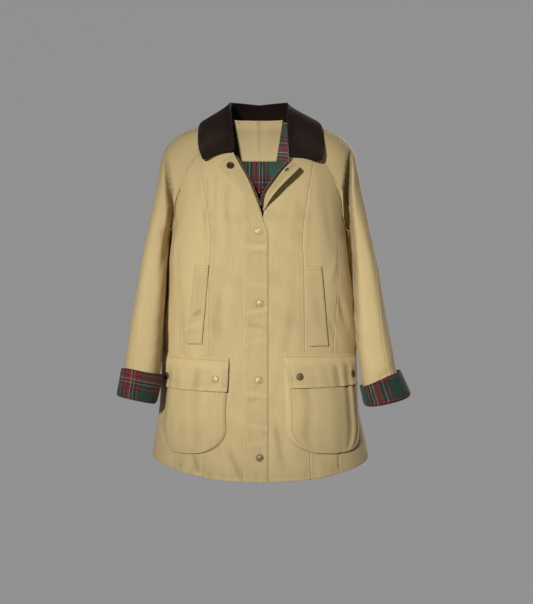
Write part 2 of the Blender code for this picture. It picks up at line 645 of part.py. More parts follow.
def raglan_section(station, u):
    """Point of a sleeve's open section, over the shoulder from the front seam to the back seam."""
    row = RAGLAN[station]
    front = body_point(raglan_angle(station, "front"), row.front_z)
    back = body_point(raglan_angle(station, "back"), row.back_z)
    if station == 0:
        front = UNDERARM.copy()
        back = UNDERARM.copy()
    flat = station > FLAT_STATION
    gap = Vector((SEAM * SEAM_OUT, 0.0, 0.0))
    if flat:
        gap = Vector((SEAM * SEAM_OVER, 0.0, SEAM * SEAM_OVER))
    front += gap
    back += gap
    top = Vector((row.top_x, RIDGE_Y if flat else 0.0, row.top_z))
    bulge_share = max(0.0, 1.0 - station / (FLAT_STATION + 1.0))
    front_bulge = Vector((row.bulge_x, min(-row.bulge_y, front.y), mix(front.z, top.z, 0.5)))
    back_bulge = Vector((row.bulge_x, max(row.bulge_y, back.y), mix(back.z, top.z, 0.5)))
    front_bulge = mix(mix(front, top, BULGE_LEAST), front_bulge, bulge_share)
    back_bulge = mix(mix(back, top, BULGE_LEAST), back_bulge, bulge_share)
    if flat:
        front_bulge.y = front.y
        back_bulge.y = back.y
    part = min(int(u * 4.0), 3)
    share = u * 4.0 - part
    if part == 0:
        return quarter(front, front_bulge, Vector((front_bulge.x, front.y, front_bulge.z)), share)
    if part == 1:
        return quarter(front_bulge, top, Vector((front_bulge.x, top.y, front_bulge.z)), share)
    if part == 2:
        return quarter(top, back_bulge, Vector((back_bulge.x, top.y, back_bulge.z)), share)
    return quarter(back_bulge, back, Vector((back_bulge.x, back.y, back_bulge.z)), share)


def armhole_fold(side, place, share):
    """How far back the deep fold down the front of the armhole takes a point of the sleeve."""
    rows = ARMHOLES[side]
    off = place.x - read(rows, "height", "middle", place.z)
    wide = read(rows, "height", "wide", place.z)
    sunk = smooth_step((off + FOLD_START) / FOLD_SINK) * (1.0 - smooth_step((off - FOLD_HOLD) / wide))
    start, over = FOLD_REACH
    clear = smooth_step(share * SLEEVE_GIRTH / FOLD_SEAM) * (1.0 - smooth_step((share - start) / over))
    return read(rows, "height", "deep", place.z) * sunk * clear


def sleeve(side, look):
    """Raglan sleeve: open sections along the raglan seam, then closed rings down to the hem."""
    count = sum(SLEEVE_STEPS)
    stations = len(RAGLAN)
    rows = stations - 1 + len(SLEEVE_RINGS)

    def point(u, v):
        share = column_share(round(u * count))
        row = round(v * rows)
        if row < stations:
            place = raglan_section(stations - 1 - row, share)
        else:
            centre, out_axis, front_axis, _ = sleeve_ring(side, SLEEVE_RINGS[row - stations])
            place = ring_point(centre, out_axis, front_axis, share)
        place.y += armhole_fold(side, place, share)
        return Vector((place.x * SIGN[side], place.y, place.z))
    return cloth(f"sleeve_{side}", count, rows, point, facing(side) * SHELL, look, weld=True)


# Section of a turned-back cuff: how far outside the sleeve and how far up from its hem.
CUFF_SECTION = (
    (-0.0014, -0.0026),
    (0.0020, -0.0036),
    (0.0040, -0.0010),
    (0.0044, 0.0270),
    (0.0050, CUFF_DEPTH),
)


def cuff(side, look):
    """Turned-back cuff round the end of a sleeve."""
    count = sum(SLEEVE_STEPS)
    hem = SLEEVE_RINGS[-1]

    def point(u, v):
        share = column_share(round(u * count))
        out, up = CUFF_SECTION[round(v * (len(CUFF_SECTION) - 1))]
        centre, out_axis, front_axis, down = sleeve_ring(side, hem)
        high_centre, high_out, high_front, _ = sleeve_ring(side, hem + CUFF_RISE[side])
        rise = max(up, 0.0) / CUFF_DEPTH
        middle = mix(centre, high_centre, rise) + down * max(-up, 0.0)
        out_now = mix(out_axis, high_out, rise)
        front_now = mix(front_axis, high_front, rise)
        out_now += out_now.normalized() * out
        front_now += front_now.normalized() * out
        place = ring_point(middle, out_now, front_now, share)
        return Vector((place.x * SIGN[side], place.y, place.z))
    rows = len(CUFF_SECTION) - 1
    return cloth(f"cuff_{side}", count, rows, point, -facing(side) * CUFF_THICK, look, weld=True)


# ---------------------------------------------------------------- collar
def neckline(side, along):
    """Point of the neckline: 0 front end, 1 front raglan seam, 2 back raglan seam, 3 centre back."""
    if along <= 1.0:
        front_x, front_z = V_TOP[side]
        end = RAGLAN[-1]
        across = mix(front_x, end.front_x, along)
        height = mix(front_z, end.front_z, along)
        place = body_point(front_angle(across, height), height)
    elif along <= 2.0:
        place = raglan_section(len(RAGLAN) - 1, along - 1.0)
    else:
        angle = mix(raglan_angle(len(RAGLAN) - 1, "back"), math.pi, along - 2.0)
        place = body_point(angle, mix(RAGLAN[-1].back_z, BACK_NECK, along - 2.0))
    return place


def collar_section(side, along, step):
    """Point of the collar's section: stand from the neckline, round the fold, down to the free edge."""
    rows = COLLARS[side]
    fold = Vector([read(rows, "along", f"fold_{axis}", along) for axis in "xyz"])
    edge = Vector([read(rows, "along", f"edge_{axis}", along) for axis in "xyz"])
    foot = neckline(side, along)
    foot += Vector((-foot.x, -foot.y, 0.0)).normalized() * COLLAR_INSET + Vector((0.0, 0.0, COLLAR_LIFT))
    outward = Vector((edge.x - fold.x, edge.y - fold.y, 0.0)).normalized()
    inner = fold - outward * FOLD_RADIUS
    outer = fold + outward * FOLD_RADIUS
    lower = Vector((0.0, 0.0, -FOLD_RADIUS))
    fall_start = outer + lower
    start, over = FRONT_BULGE
    front = 1.0 - smooth_step((along - start) / over)
    bulge = Vector((0.0, 0.0, mix(NECK_BULGE, COLLAR_BULGE, front))) + outward * COLLAR_BULGE * 0.5 * front
    places = (
        foot,
        mix(foot, inner + lower, 0.5),
        inner + lower,
        fold,
        fall_start,
        mix(fall_start, edge, 0.33) + bulge,
        mix(fall_start, edge, 0.66) + bulge,
        edge,
    )
    return places[step]


def collar(look):
    """Collar, stand and fall in one folded sheet round the neck."""
    def point(u, v):
        column = round(u * 2 * COLLAR_HALF)
        side = "right" if column <= COLLAR_HALF else "left"
        along = 3.0 * (column if side == "right" else 2 * COLLAR_HALF - column) / COLLAR_HALF
        place = collar_section(side, along, round(v * COLLAR_STEPS))
        return Vector((place.x * SIGN[side], place.y, place.z))
    return cloth("collar", 2 * COLLAR_HALF, COLLAR_STEPS, point, CORD, look)


# ---------------------------------------------------------------- fly, lapels, zip
def fly(look):
    """Storm fly on the wearer's right front, over the zip line, up to the bottom of the V."""
    rows = HEM_ROWS + len(FLY_LEVELS)

    def point(u, v):
        row = round(v * rows)
        height = mix(hem_height(0.0), ARM_BREAK, row / HEM_ROWS)
        if row > HEM_ROWS:
            height = FLY_LEVELS[row - HEM_ROWS - 1]
        narrower = FLY_NARROWS * smooth_step((height - FLY_NARROW_FROM) / FLY_NARROW_OVER)
        free = min(FLY_OUTER - narrower, fold_x("right", height) - FLY_BEHIND)
        across = mix(FLY_INNER, free, u)
        return moved_out(front_angle(across, height), height, FLY_LIFT + FLY_THICK)
    return cloth("fly", 4, rows, point, FLY_THICK, look)


def lapel_point(side, u, v, clear=0.0):
    """Point of a turned-back corner: u from the fold to the free edge, v up from the foot of the V."""
    rows = LAPELS[side]
    fold = Vector((read(rows, "along", "fold_x", v), 0.0, read(rows, "along", "fold_z", v)))
    free = Vector((read(rows, "along", "free_x", v), 0.0, read(rows, "along", "free_z", v)))
    place = mix(fold, free, u)
    spring = LAPEL_SPRING[side] * smooth_step(u) * smooth_step(v / SPRING_ALONG)
    return moved_out(front_angle(place.x, place.z), place.z, LAPEL_LIFT[side] + spring + clear)


def lapel_outward(side, u, v):
    """Unit normal of a turned-back corner's outer face."""
    step = 0.02
    across = lapel_point(side, u + step, v) - lapel_point(side, u - step, v)
    along = lapel_point(side, u, v + step) - lapel_point(side, u, v - step)
    normal = across.cross(along).normalized()
    return normal if normal.y < 0.0 else -normal


def lapel(side, look):
    """The top corner of a front turned back on itself, showing its inner face."""
    def point(u, v):
        return lapel_point(side, u, v)
    return cloth(f"lapel_{side}", 5, 8, point, -facing(side) * SHELL, look)


def zip_tape(side, look):
    """Zip tape along the V, under the fold of a turned-back corner."""
    def point(u, v):
        height = mix(ZIP_FOOT, ZIP_TOP[side], v)
        across = fold_x(side, height) + mix(*ZIP_EDGES[side], u)
        return moved_out(front_angle(across, height), height, ZIP_FACE[side])
    return cloth(f"zip_{side}", 2, 8, point, facing(side) * ZIP_THICK, look)


# ---------------------------------------------------------------- pockets, flaps, welts, patch
def pocket_angle(side, u, height):
    """Angle across a pocket; u is 0 at its inner edge."""
    row = POCKETS[side]
    inner = front_angle(row.inner_x, POCKET_MIDDLE)
    return SIGN[side] * mix(inner, math.radians(row.outer_angle), u)


def pocket(side, look):
    """Bellows pocket: a patch with a rounded bottom, stood off the panel on its three sewn sides."""
    row = POCKETS[side]
    columns, round_rows, straight_rows = 8, 5, 3
    rows = 1 + round_rows + straight_rows

    def point(u, v):
        column, level = round(u * columns), round(v * rows)
        edge = column in (0, columns) or level == 0
        across = min(max((column - 1) / (columns - 2), 0.0), 1.0) * 2.0 - 1.0
        turn = math.radians(90.0) * min(max(level - 1, 0) / round_rows, 1.0)
        half = 1.0 - POCKET_ROUND_WIDE * (1.0 - math.sin(turn))
        height = row.bottom + POCKET_ROUND_HIGH * (1.0 - math.cos(turn))
        if level > round_rows + 1:
            height = mix(height, row.top, (level - round_rows - 1) / straight_rows)
        height += POCKET_BOW * across ** 2 * math.cos(turn)
        if edge:
            half *= POCKET_FOOT_WIDE
            height -= POCKET_FOOT_LOW * math.cos(turn)
        lift = POCKET_EDGE if edge else POCKET_DEEP
        return moved_out(pocket_angle(side, 0.5 + across * half / 2.0, height), height, lift)
    return cloth(f"pocket_{side}", columns, rows, point, facing(side) * -POCKET_WALL, look, weld=True)


def flap_height(side, u, drop):
    """Height of a flap at a share of its drop."""
    row = FLAPS[side]
    return mix(row.top_in, row.top_out, u) - mix(row.drop_in, row.drop_out, u) * drop


def flap_lift(drop):
    """Outer face of a flap above the panel, at a share of its drop."""
    return FLAP_CLEAR + FLAP_THICK + POCKET_DEEP * smooth_step(drop / FLAP_EASE)


def flap(side, look):
    """Pocket flap, sewn on above the pocket and lying over its mouth."""
    slant = FLAPS[side].slant

    def point(u, v):
        drop = (1.0 - v) ** FLAP_CROWD
        height = flap_height(side, u, drop)
        angle = pocket_angle(side, mix(slant * drop - FLAP_OVER, 1.0 + FLAP_OVER, u), height)
        return moved_out(angle, height, flap_lift(drop))
    return cloth(f"flap_{side}", 8, 6, point, facing(side) * -FLAP_THICK, look)


def welt(side, look):
    """Slanted welt of the hand-warmer pocket."""
    row = WELTS[side]

    def point(u, v):
        height = mix(row.bottom, row.top, v)
        across = mix(mix(row.bottom_in, row.top_in, v), mix(row.bottom_out, row.top_out, v), u)
        return moved_out(front_angle(SIGN[side] * across, height), height, WELT_LIFT + WELT_THICK)
    return cloth(f"welt_{side}", 3, 8, point, facing(side) * -WELT_THICK, look)


def neck_patch(look):
    """Plain patch on the inside of the back neck."""
    def point(u, v):
        height = mix(PATCH_BOTTOM[1], PATCH_TOP[1], v)
        half = mix(PATCH_BOTTOM[0], PATCH_TOP[0], v)
        above = 0.5 * (height - PATCH_BEND + math.hypot(height - PATCH_BEND, PATCH_SOFT))
        height -= above
        across = mix(-half, half, u) + PATCH_SHIFT
        angle = math.pi - front_angle(across, height)
        inside = moved_out(angle, height, -LINING_DEPTH - LINING - PATCH_CLEAR)
        return inside + Vector((0.0, -PATCH_LEAN * above, above))
    return cloth("neck_patch", 6, 8, point, -PATCH_THICK, look)


# ---------------------------------------------------------------- snaps
def outward_at(angle, height):
    """Unit normal of the body."""
    return (moved_out(angle, height, 0.01) - body_point(angle, height)).normalized()


CAP_PROFILE = (
    (0.0, SNAP_HEIGHT),
    (SNAP_RADIUS * 0.55, SNAP_HEIGHT * 0.92),
    (SNAP_RADIUS * 0.88, SNAP_HEIGHT * 0.70),
    (SNAP_RADIUS, SNAP_HEIGHT * 0.35),
    (SNAP_RADIUS * 0.97, 0.0),
    (0.0, 0.0),
)
SOCKET_PROFILE = (
    (0.0, 0.0008),
    (0.0026, 0.0008),
    (0.0030, 0.0020),
    (0.0062, 0.0020),
    (0.0076, 0.0010),
    (0.0076, 0.0),
    (0.0, 0.0),
)
STUD_PROFILE = (
    (0.0, 0.0030),
    (0.0018, 0.0030),
    (0.0021, 0.0012),
    (0.0044, 0.0010),
    (0.0046, 0.0),
    (0.0, 0.0),
)
# Open snaps of the turned-back corners, as shares from the fold and up from the foot of the V.
CornerSnap = namedtuple("CornerSnap", "name side across along profile")
CORNER_SNAPS = (
    CornerSnap("snap_socket", "right", 0.52, 0.86, SOCKET_PROFILE),
    CornerSnap("snap_stud", "left", 0.33, 0.80, STUD_PROFILE),
)


def snaps(brass, dark):
    """Caps down the fly and on the flaps, and the open socket and stud on the turned-back corners."""
    for number, height in enumerate(FLY_SNAPS, 1):
        place = moved_out(0.0, height, FLY_LIFT + FLY_THICK + SNAP_CLEAR)
        turned(f"snap_fly_{number}", CAP_PROFILE, place, outward_at(0.0, height), brass)
    for number, row in enumerate(FLAP_SNAPS, 1):
        angle = front_angle(SIGN[row.side] * row.across, row.height)
        inner, outer = (pocket_angle(row.side, end, row.height) for end in (0.0, 1.0))
        u = (angle - inner) / (outer - inner)
        top, foot = flap_height(row.side, u, 0.0), flap_height(row.side, u, 1.0)
        drop = (top - row.height) / (top - foot)
        place = moved_out(angle, row.height, flap_lift(drop) + SNAP_CLEAR)
        turned(f"snap_flap_{number}", CAP_PROFILE, place, outward_at(angle, row.height), brass)
    for row in CORNER_SNAPS:
        outward = lapel_outward(row.side, row.across, row.along)
        place = lapel_point(row.side, row.across, row.along) + outward * SNAP_CLEAR
        turned(row.name, row.profile, place, outward, dark)


def build():
    """Makes every piece."""
    twill = material("Khaki twill", (0.56, 0.44, 0.22), 0.85)
    plaid = material("Plaid cotton", (0.03, 0.09, 0.06), 0.85)
    corduroy = material("Brown corduroy", (0.04, 0.02, 0.017), 0.95)
    tape = material("Zip tape", (0.05, 0.035, 0.02), 0.8)
    brass = material("Antique brass", (0.45, 0.33, 0.15), 0.4, 0.9)
    dark = material("Dark brass", (0.20, 0.16, 0.11), 0.4, 0.9)
    for side in ("right", "left"):
        centre_panel(side, twill)
        side_panel(side, twill)
        sleeve(side, twill)
        cuff(side, plaid)
        front_lining(side, plaid)
        lapel(side, twill)
        zip_tape(side, tape)
        pocket(side, twill)
        flap(side, twill)
        welt(side, twill)
    back_panel("back", 0.0, SHELL, 0.0, 0.0, twill)
    back_panel("lining_back", -LINING_DEPTH, LINING, LINING_HEM, 0.0005, plaid)
    neck_patch(twill)
    collar(corduroy)
    fly(twill)
    snaps(brass, dark)


for leftover in list(bpy.data.objects):
    bpy.data.objects.remove(leftover)
COLLECTION = bpy.data.collections.new(COLLECTION_NAME)
bpy.context.scene.collection.children.link(COLLECTION)
build()
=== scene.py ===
"""Barn jacket: cotton twill shell, corduroy collar, plaid lining and turned-back cuffs, storm fly with snaps.

Laid out as an add-on and run as a script. Units are metres, +Z up, the front faces -Y and the wearer's left
side is +X. Every cloth piece is a fine shell laid on the jacket's own surface, with its creases, sewn edges
and stitches as geometry.
"""

import math
from collections import namedtuple
from functools import partial

import bmesh
import bpy
import numpy as np
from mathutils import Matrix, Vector


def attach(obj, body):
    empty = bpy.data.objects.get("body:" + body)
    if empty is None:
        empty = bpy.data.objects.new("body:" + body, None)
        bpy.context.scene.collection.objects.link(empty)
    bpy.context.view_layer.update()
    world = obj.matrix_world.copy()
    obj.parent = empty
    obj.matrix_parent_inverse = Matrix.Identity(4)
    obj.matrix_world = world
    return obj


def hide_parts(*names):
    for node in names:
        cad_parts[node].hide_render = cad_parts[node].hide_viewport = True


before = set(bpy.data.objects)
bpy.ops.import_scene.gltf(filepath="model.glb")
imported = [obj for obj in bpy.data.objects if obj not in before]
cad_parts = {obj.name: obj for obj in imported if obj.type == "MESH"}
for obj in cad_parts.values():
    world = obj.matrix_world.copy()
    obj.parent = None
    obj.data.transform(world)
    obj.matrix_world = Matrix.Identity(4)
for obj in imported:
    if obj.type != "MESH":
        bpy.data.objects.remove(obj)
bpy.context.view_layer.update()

bl_info = {
    "name": "Barn Jacket",
    "version": (1, 0, 0),
    "blender": (4, 5, 0),
    "location": "3D View > Sidebar > Barn Jacket",
    "description": "Builds the cloth, stitching, snaps and zip of a barn jacket over its frame",
    "category": "Object",
}


def table(text):
    """Rows of a table: its first line names the columns, and a line that starts with # is a remark."""
    names, *rows = [line.split() for line in text.strip().splitlines() if not line.startswith("#")]
    kind = namedtuple("Row", names)
    return tuple(kind(*(word if word[0].isalpha() else float(word) for word in row)) for row in rows)


def by_side(text):
    """Rows of a table by their side."""
    return {row.side: row for row in table(text)}


# The body, a row for each height.
BODY = table("""
height half_width front_depth back_depth corner shift
-.76 .233 .152 .158 2.1 .003
-.7 .2285 .149 .154 2.1 .003
-.63 .2165 .144 .147 2.2 .001
-.59 .2095 .141 .141 2.3 0
-.52 .2058 .135 .13 2.25 .0006
-.42 .2008 .128 .118 2.4 .0013
-.34 .192 .129 .118 2.75 .003
-.275 .1872 .131 .123 2.85 .0002
-.222 .1808 .13 .125 2.85 0
-.2 .18 .128 .124 2.85 0
""")
SEAMS = table("""
height princess side
-.73 .1085 .165
-.6 .102 .156
-.465 .0965 .152
-.4 .096 .156
-.3 .0945 .165
-.24 .092 .17
-.175 .0995 .172
-.093 .1135 .172
-.065 .119 .172
""")
RIDGE = table("""
across height
0 .045
.05 .032
.072 .02
.09 .013
.137 -.006
.175 -.024
.2 -.045
""")
# Raglan seam from the underarm (0) to the neck (8).
RAGLAN = table("""
number front_x front_z back_x back_z top_x top_z bulge_x bulge_y
0 .1812 -.222 .1812 -.222 .233 -.222 .207 .078
1 .1765 -.208 .1765 -.208 .227 -.187 .202 .079
2 .172 -.19 .172 -.192 .2195 -.151 .196 .08
3 .169 -.162 .166 -.165 .213 -.119 .188 .081
4 .159 -.136 .154 -.134 .208 -.089 .173 .083
5 .1465 -.107 .14 -.103 .199 -.053 .154 .086
6 .1225 -.0705 .116 -.062 .172 -.022 .124 .085
7 .099 -.045 .088 -.02 .125 -.001 .1 .078
8 .076 -.0175 .06 .019 .072 .02 .076 .06
""")
SLEEVES = {
    "right": table("""
height inner outer forward half_deep lean_out lean_front
-.561 .2105 .2785 .108 .044 12.5 4
-.52 .2018 .271 .096 .046 11.5 5
-.475 .199 .2672 .08 .0515 9.5 6
-.42 .1962 .262 .058 .059 7.5 6
-.36 .1925 .2545 .036 .0665 5 5
-.3 .19 .2464 .018 .0735 3 3
-.252 .187 .239 .006 .077 1 1
-.222 .1815 .233 0 .078 0 0
"""),
    "left": table("""
height inner outer forward half_deep lean_out lean_front
-.561 .2155 .2985 .108 .044 13.5 -5
-.526 .2106 .279 .096 .046 23.5 3
-.475 .204 .2705 .08 .0515 18 6
-.42 .199 .2628 .058 .059 13 6
-.36 .1962 .2552 .036 .0665 9 5
-.3 .1918 .248 .018 .0735 5 3
-.252 .1868 .2392 .006 .077 2 1
-.222 .1815 .233 0 .078 0 0
"""),
}
# Deep fold down the front of each armhole: its middle, and how deep and how wide it is.
ARMHOLES = {
    "right": table("""
height middle deep hold wide
-.3 .188 0 .003 .012
-.25 .183 .02 .003 .012
-.215 .1765 .036 .003 .0125
-.183 .1735 .042 .003 .013
-.14 .1775 .038 .003 .013
-.105 .183 .02 .003 .011
-.071 .189 0 .003 .008
"""),
    "left": table("""
height middle deep hold wide
-.47 .196 0 .002 .006
-.416 .192 .03 .005 .005
-.363 .19 .045 .007 .005
-.309 .185 .055 .0115 .005
-.256 .18 .055 .0145 .005
-.215 .176 .052 .015 .006
-.18 .174 .05 .013 .008
-.14 .1735 .046 .009 .011
-.095 .179 .028 .004 .013
-.046 .1863 0 .003 .008
"""),
}
LAPELS = {
    "right": table("""
along fold_x fold_z free_x free_z
0 .006 -.19 .001 -.1885
.25 -.006 -.158 -.0208 -.1635
.5 -.019 -.1265 -.04 -.1415
.75 -.0345 -.0975 -.06 -.1195
1 -.0505 -.068 -.0795 -.099
"""),
    "left": table("""
along fold_x fold_z free_x free_z
0 .0085 -.186 .0112 -.187
.25 .013 -.155 .0245 -.1655
.5 .031 -.1275 .0437 -.1432
.75 .048 -.1045 .0605 -.126
1 .066 -.085 .0785 -.108
"""),
}
V_TOP = {"right": (0.0500, -0.0660), "left": (0.0660, -0.0800)}
COLLARS = {
    "right": table("""
along fold_x fold_y fold_z edge_x edge_y edge_z
0 .05 -.111 -.062 .111 -.106 -.087
.5 .0545 -.085 -.022 .1215 -.098 -.056
1 .059 -.05 .014 .1245 -.058 -.013
1.33 .0625 -.018 .038 .1215 -.018 .007
1.66 .0632 .02 .0545 .113 .035 .014
2 .059 .048 .0605 .093 .07 .013
2.5 .031 .069 .062 .05 .095 .01
3 0 .076 .06 0 .102 .009
"""),
    "left": table("""
along fold_x fold_y fold_z edge_x edge_y edge_z
0 .064 -.106 -.074 .1254 -.105 -.0935
.5 .062 -.085 -.028 .132 -.096 -.061
1 .061 -.05 .014 .132 -.058 -.015
1.33 .062 -.018 .038 .1265 -.018 .0065
1.66 .061 .02 .0545 .115 .035 .0135
2 .0575 .048 .0605 .093 .07 .013
2.5 .031 .069 .062 .05 .095 .01
3 0 .076 .06 0 .102 .009
"""),
}
POCKETS = by_side("""
side inner_x outer_angle top bottom
right .065 66 -.498 -.672
left .052 69 -.498 -.672
""")
FLAPS = by_side("""
side top_in top_out drop_in drop_out slant
right -.4797 -.4725 .068 .068 .012
left -.4709 -.4741 .0695 .0626 .07
""")
FLAP_SNAPS = table("""
side across height
right .083 -.523
right .18 -.52
left .072 -.518
left .183 -.515
""")
FLY_SNAPS = (-0.2280, -0.3720, -0.5240, -0.6760)
WELTS = by_side("""
side top_in top_out bottom_in bottom_out top bottom
right .0985 .1265 .1125 .1415 -.2945 -.453
left .093 .1245 .102 .139 -.2975 -.457
""")
# Soft folds of the body: where each starts and ends (distance round from the centre front, height), how wide
# and how deep it is (a trough is negative) and how far its middle bows.
BODY_FOLDS = table("""
start_s start_z end_s end_z width depth bow
# wearer's right chest
-.083 -.105 -.081 -.175 .006 -.0016 .001
-.072 -.12 -.069 -.21 .008 .0012 .002
-.1 -.112 -.112 -.205 .0075 -.0014 -.002
-.058 -.15 -.05 -.25 .009 -.001 .003
-.15 -.12 -.175 -.21 .011 .0022 -.004
-.165 -.19 -.185 -.3 .012 -.0024 -.003
-.2 -.235 -.19 -.37 .011 .0024 .004
-.135 -.395 -.117 -.385 .005 -.0012 .002
-.15 -.42 -.105 -.405 .007 .0012 .003
-.075 -.35 -.08 -.45 .012 -.0012 .003
-.19 -.38 -.2 -.455 .01 -.0022 .002
# wearer's left chest
.078 -.13 .066 -.24 .009 -.001 -.003
.12 -.12 .135 -.235 .012 .0018 .003
.15 -.15 .168 -.26 .0085 -.0022 .003
.174 -.268 .143 -.325 .007 .0022 -.004
.182 -.245 .16 -.33 .006 -.0018 -.004
.17 -.36 .206 -.44 .008 -.0034 .004
.19 -.36 .222 -.43 .008 .0028 .004
.15 -.4 .185 -.455 .007 .0018 .004
.06 -.33 .052 -.47 .012 -.0012 -.002
# below the pockets
.036 -.61 .05 -.69 .007 -.0016 .002
-.062 -.66 -.04 -.715 .008 -.0014 .002
-.128 -.672 -.116 -.712 .005 -.0016 .001
.157 -.664 .15 -.705 .005 -.0018 .001
.112 -.68 .116 -.715 .006 .0012 0
-.175 -.56 -.19 -.69 .01 .0018 .003
# sides
-.262 -.24 -.252 -.36 .012 -.003 .004
-.238 -.3 -.225 -.44 .011 .0026 -.003
-.285 -.33 -.268 -.52 .013 .0028 .005
-.262 -.5 -.275 -.68 .012 -.0024 -.004
.266 -.25 .25 -.4 .013 -.0032 -.004
.24 -.33 .236 -.48 .011 .0024 .003
.29 -.3 .272 -.47 .012 .0028 -.003
.268 -.52 .286 -.69 .013 -.0026 .004
# back
-.395 -.08 -.372 -.26 .015 .003 .006
-.36 -.15 -.335 -.33 .012 -.0034 .005
-.425 -.19 -.412 -.4 .015 -.0028 -.004
-.47 -.28 -.48 -.52 .017 .0024 .004
-.38 -.42 -.395 -.64 .016 .003 -.004
-.335 -.47 -.33 -.69 .014 -.0032 .005
-.44 -.52 -.43 -.7 .015 -.0026 .003
.405 -.09 .38 -.25 .015 .003 -.006
.355 -.14 .34 -.35 .012 -.0032 -.005
.43 -.22 .44 -.44 .016 -.0026 .004
.385 -.39 .372 -.6 .015 .0028 .004
.48 -.35 .47 -.62 .017 .0026 -.004
.345 -.5 .338 -.69 .013 -.0032 -.004
.435 -.56 .445 -.705 .015 -.0026 -.003
-.33 -.33 -.4 -.372 .009 -.0022 .004
.33 -.345 .41 -.385 .009 -.0024 -.004
.335 -.395 .395 -.418 .008 .0018 -.003
""")
# Soft folds of a sleeve: share round it from the inner line by the front (0.25 front, 0.5 outer line, 0.75
# back) and height, for both ends.
SLEEVE_FOLDS = {
    "right": table("""
start_s start_z end_s end_z width depth bow
.03 -.235 .16 -.345 .009 .003 .006
.06 -.2 .21 -.33 .008 -.0028 .006
.13 -.16 .25 -.29 .01 .0024 .006
.3 -.11 .33 -.3 .007 -.0014 .003
.35 -.13 .33 -.54 .009 .0016 .004
.02 -.385 .21 -.415 .0085 -.003 .008
.01 -.41 .19 -.445 .008 .0028 .008
.04 -.44 .25 -.462 .007 -.002 .006
.23 -.505 .12 -.54 .006 -.003 .004
.25 -.49 .16 -.535 .006 .0024 .004
.06 -.5 .14 -.512 .006 -.0022 .004
.42 -.52 .3 -.53 .006 .0016 .003
.6 -.09 .66 -.3 .011 -.0028 .005
.72 -.13 .76 -.33 .011 .003 .005
.56 -.39 .9 -.42 .011 -.0034 .012
.6 -.425 .94 -.45 .01 .0032 .01
.64 -.46 .9 -.475 .009 -.0026 .008
.86 -.25 .78 -.36 .01 -.0026 .004
.7 -.5 .86 -.528 .008 -.0026 .006
.48 -.25 .5 -.42 .011 .0018 .004
"""),
    "left": table("""
start_s start_z end_s end_z width depth bow
.04 -.24 .15 -.37 .009 .0032 .006
.07 -.19 .19 -.32 .0085 -.003 .005
.15 -.15 .26 -.27 .01 .0024 .005
.33 -.12 .32 -.36 .008 -.0014 .003
.03 -.375 .23 -.4 .0085 -.0028 .008
.02 -.405 .21 -.438 .008 .0028 .008
.05 -.432 .27 -.462 .0075 -.0022 .006
.34 -.505 .215 -.528 .0042 -.0042 .007
.345 -.492 .2 -.516 .0046 .0036 .007
.26 -.478 .15 -.508 .0065 -.0024 .004
.4 -.515 .36 -.49 .005 -.0022 .003
.1 -.505 .18 -.525 .006 -.0022 .003
.44 -.24 .47 -.44 .011 .0018 -.004
.59 -.1 .64 -.29 .011 -.0028 .004
.71 -.12 .77 -.34 .011 .003 .005
.57 -.4 .92 -.41 .011 -.0034 .012
.6 -.432 .93 -.445 .01 .003 .01
.62 -.47 .88 -.482 .009 -.0026 .008
.87 -.26 .79 -.35 .01 -.0026 .004
.69 -.505 .85 -.532 .008 -.0024 .005
"""),
}
# Creases down a pocket: share across it from its middle, how wide and how deep.
POCKET_CREASES = {
    "right": table("""
place width depth
-.35 .16 -.001
.3 .22 .0011
.72 .12 -.0013
"""),
    "left": table("""
place width depth
-.62 .12 -.001
-.1 .22 .001
.52 .1 -.0022
.68 .1 .0018
.84 .08 -.0016
"""),
}
# Ripples of a pocket flap: share across it, how wide and how deep.
FLAP_RIPPLES = {
    "right": table("""
place width depth lean
.12 .05 .0007 .02
.34 .06 -.0009 .03
.58 .07 .0008 -.03
.8 .05 -.0009 -.02
"""),
    "left": table("""
place width depth lean
.3 .06 .0007 .04
.52 .045 -.0011 .05
.63 .035 .0015 .02
.72 .03 -.0016 .02
.83 .035 .0014 -.01
"""),
}
# Plaid: a stripe's width as a share of the repeat, and its colour.
SETT = table("""
share colour
.4 green
.022 black
.05 red
.026 black
.04 green
.016 cream
.05 black
.018 cream
.06 red
.022 black
.08 red
.018 black
.05 navy
.016 cream
.04 green
.026 black
.046 red
.02 black
""")

SIGN = {"right": -1.0, "left": 1.0}
SIDES = ("right", "left")
PRINCESS_SKEW = 0.004       # how far both princess seams sit to the wearer's right
RIDGE_Y = 0.005             # depth of the shoulder line
CHEST_TOP = -0.200          # height above which the body rounds in to the shoulders
UNDERARM = -0.222
NECK = 8.0                  # number of the raglan seam's row at the neck
SIDE_TOP = -0.190           # height where the fronts' side seam meets the raglan seam
PRINCESS_TOP = -0.0705      # and where the princess seam meets it
FRONT_ROUND, BACK_ROUND = 1.9, 2.6
SIDE_HEM, FRONT_DIP, BACK_DIP = -0.697, 0.0265, 0.008  # hem at the sides, its drop in front and behind
SIDE_RISE = 0.0110          # rise of the hem towards the side seams
BACK_NECK = 0.0210          # height of the neckline at the centre back
ZIP_X = -0.023              # the zip line below the V
FLY_INNER, FLY_OUTER = -0.031, 0.0185
FLY_TOP = -0.113
FLY_FACE = 0.0024           # outer face of the fly above the body
POCKET_DEEP = 0.0062        # how far a pocket stands off the body, and its sewn edge
POCKET_EDGE = 0.0012
POCKET_LEVEL = -0.60        # height where its inner edge is measured
FLAP_DROP = 0.067
FLAP_OVER = 0.02            # how far a flap reaches past its pocket at each end, as a share
FLAP_FACE = 0.0032
WELT_FACE = 0.0035
WELT_WIDTH, WELT_LENGTH = 0.029, 0.157
PATCH_LOW, PATCH_HIGH = -0.0570, 0.0285             # the neck patch: heights and half widths
PATCH_NARROW, PATCH_WIDE = 0.0400, 0.0552
LAPEL_LIFT = {"right": 0.0044, "left": 0.0034}
LAPEL_SPRING = {"right": 0.0035, "left": 0.0200}
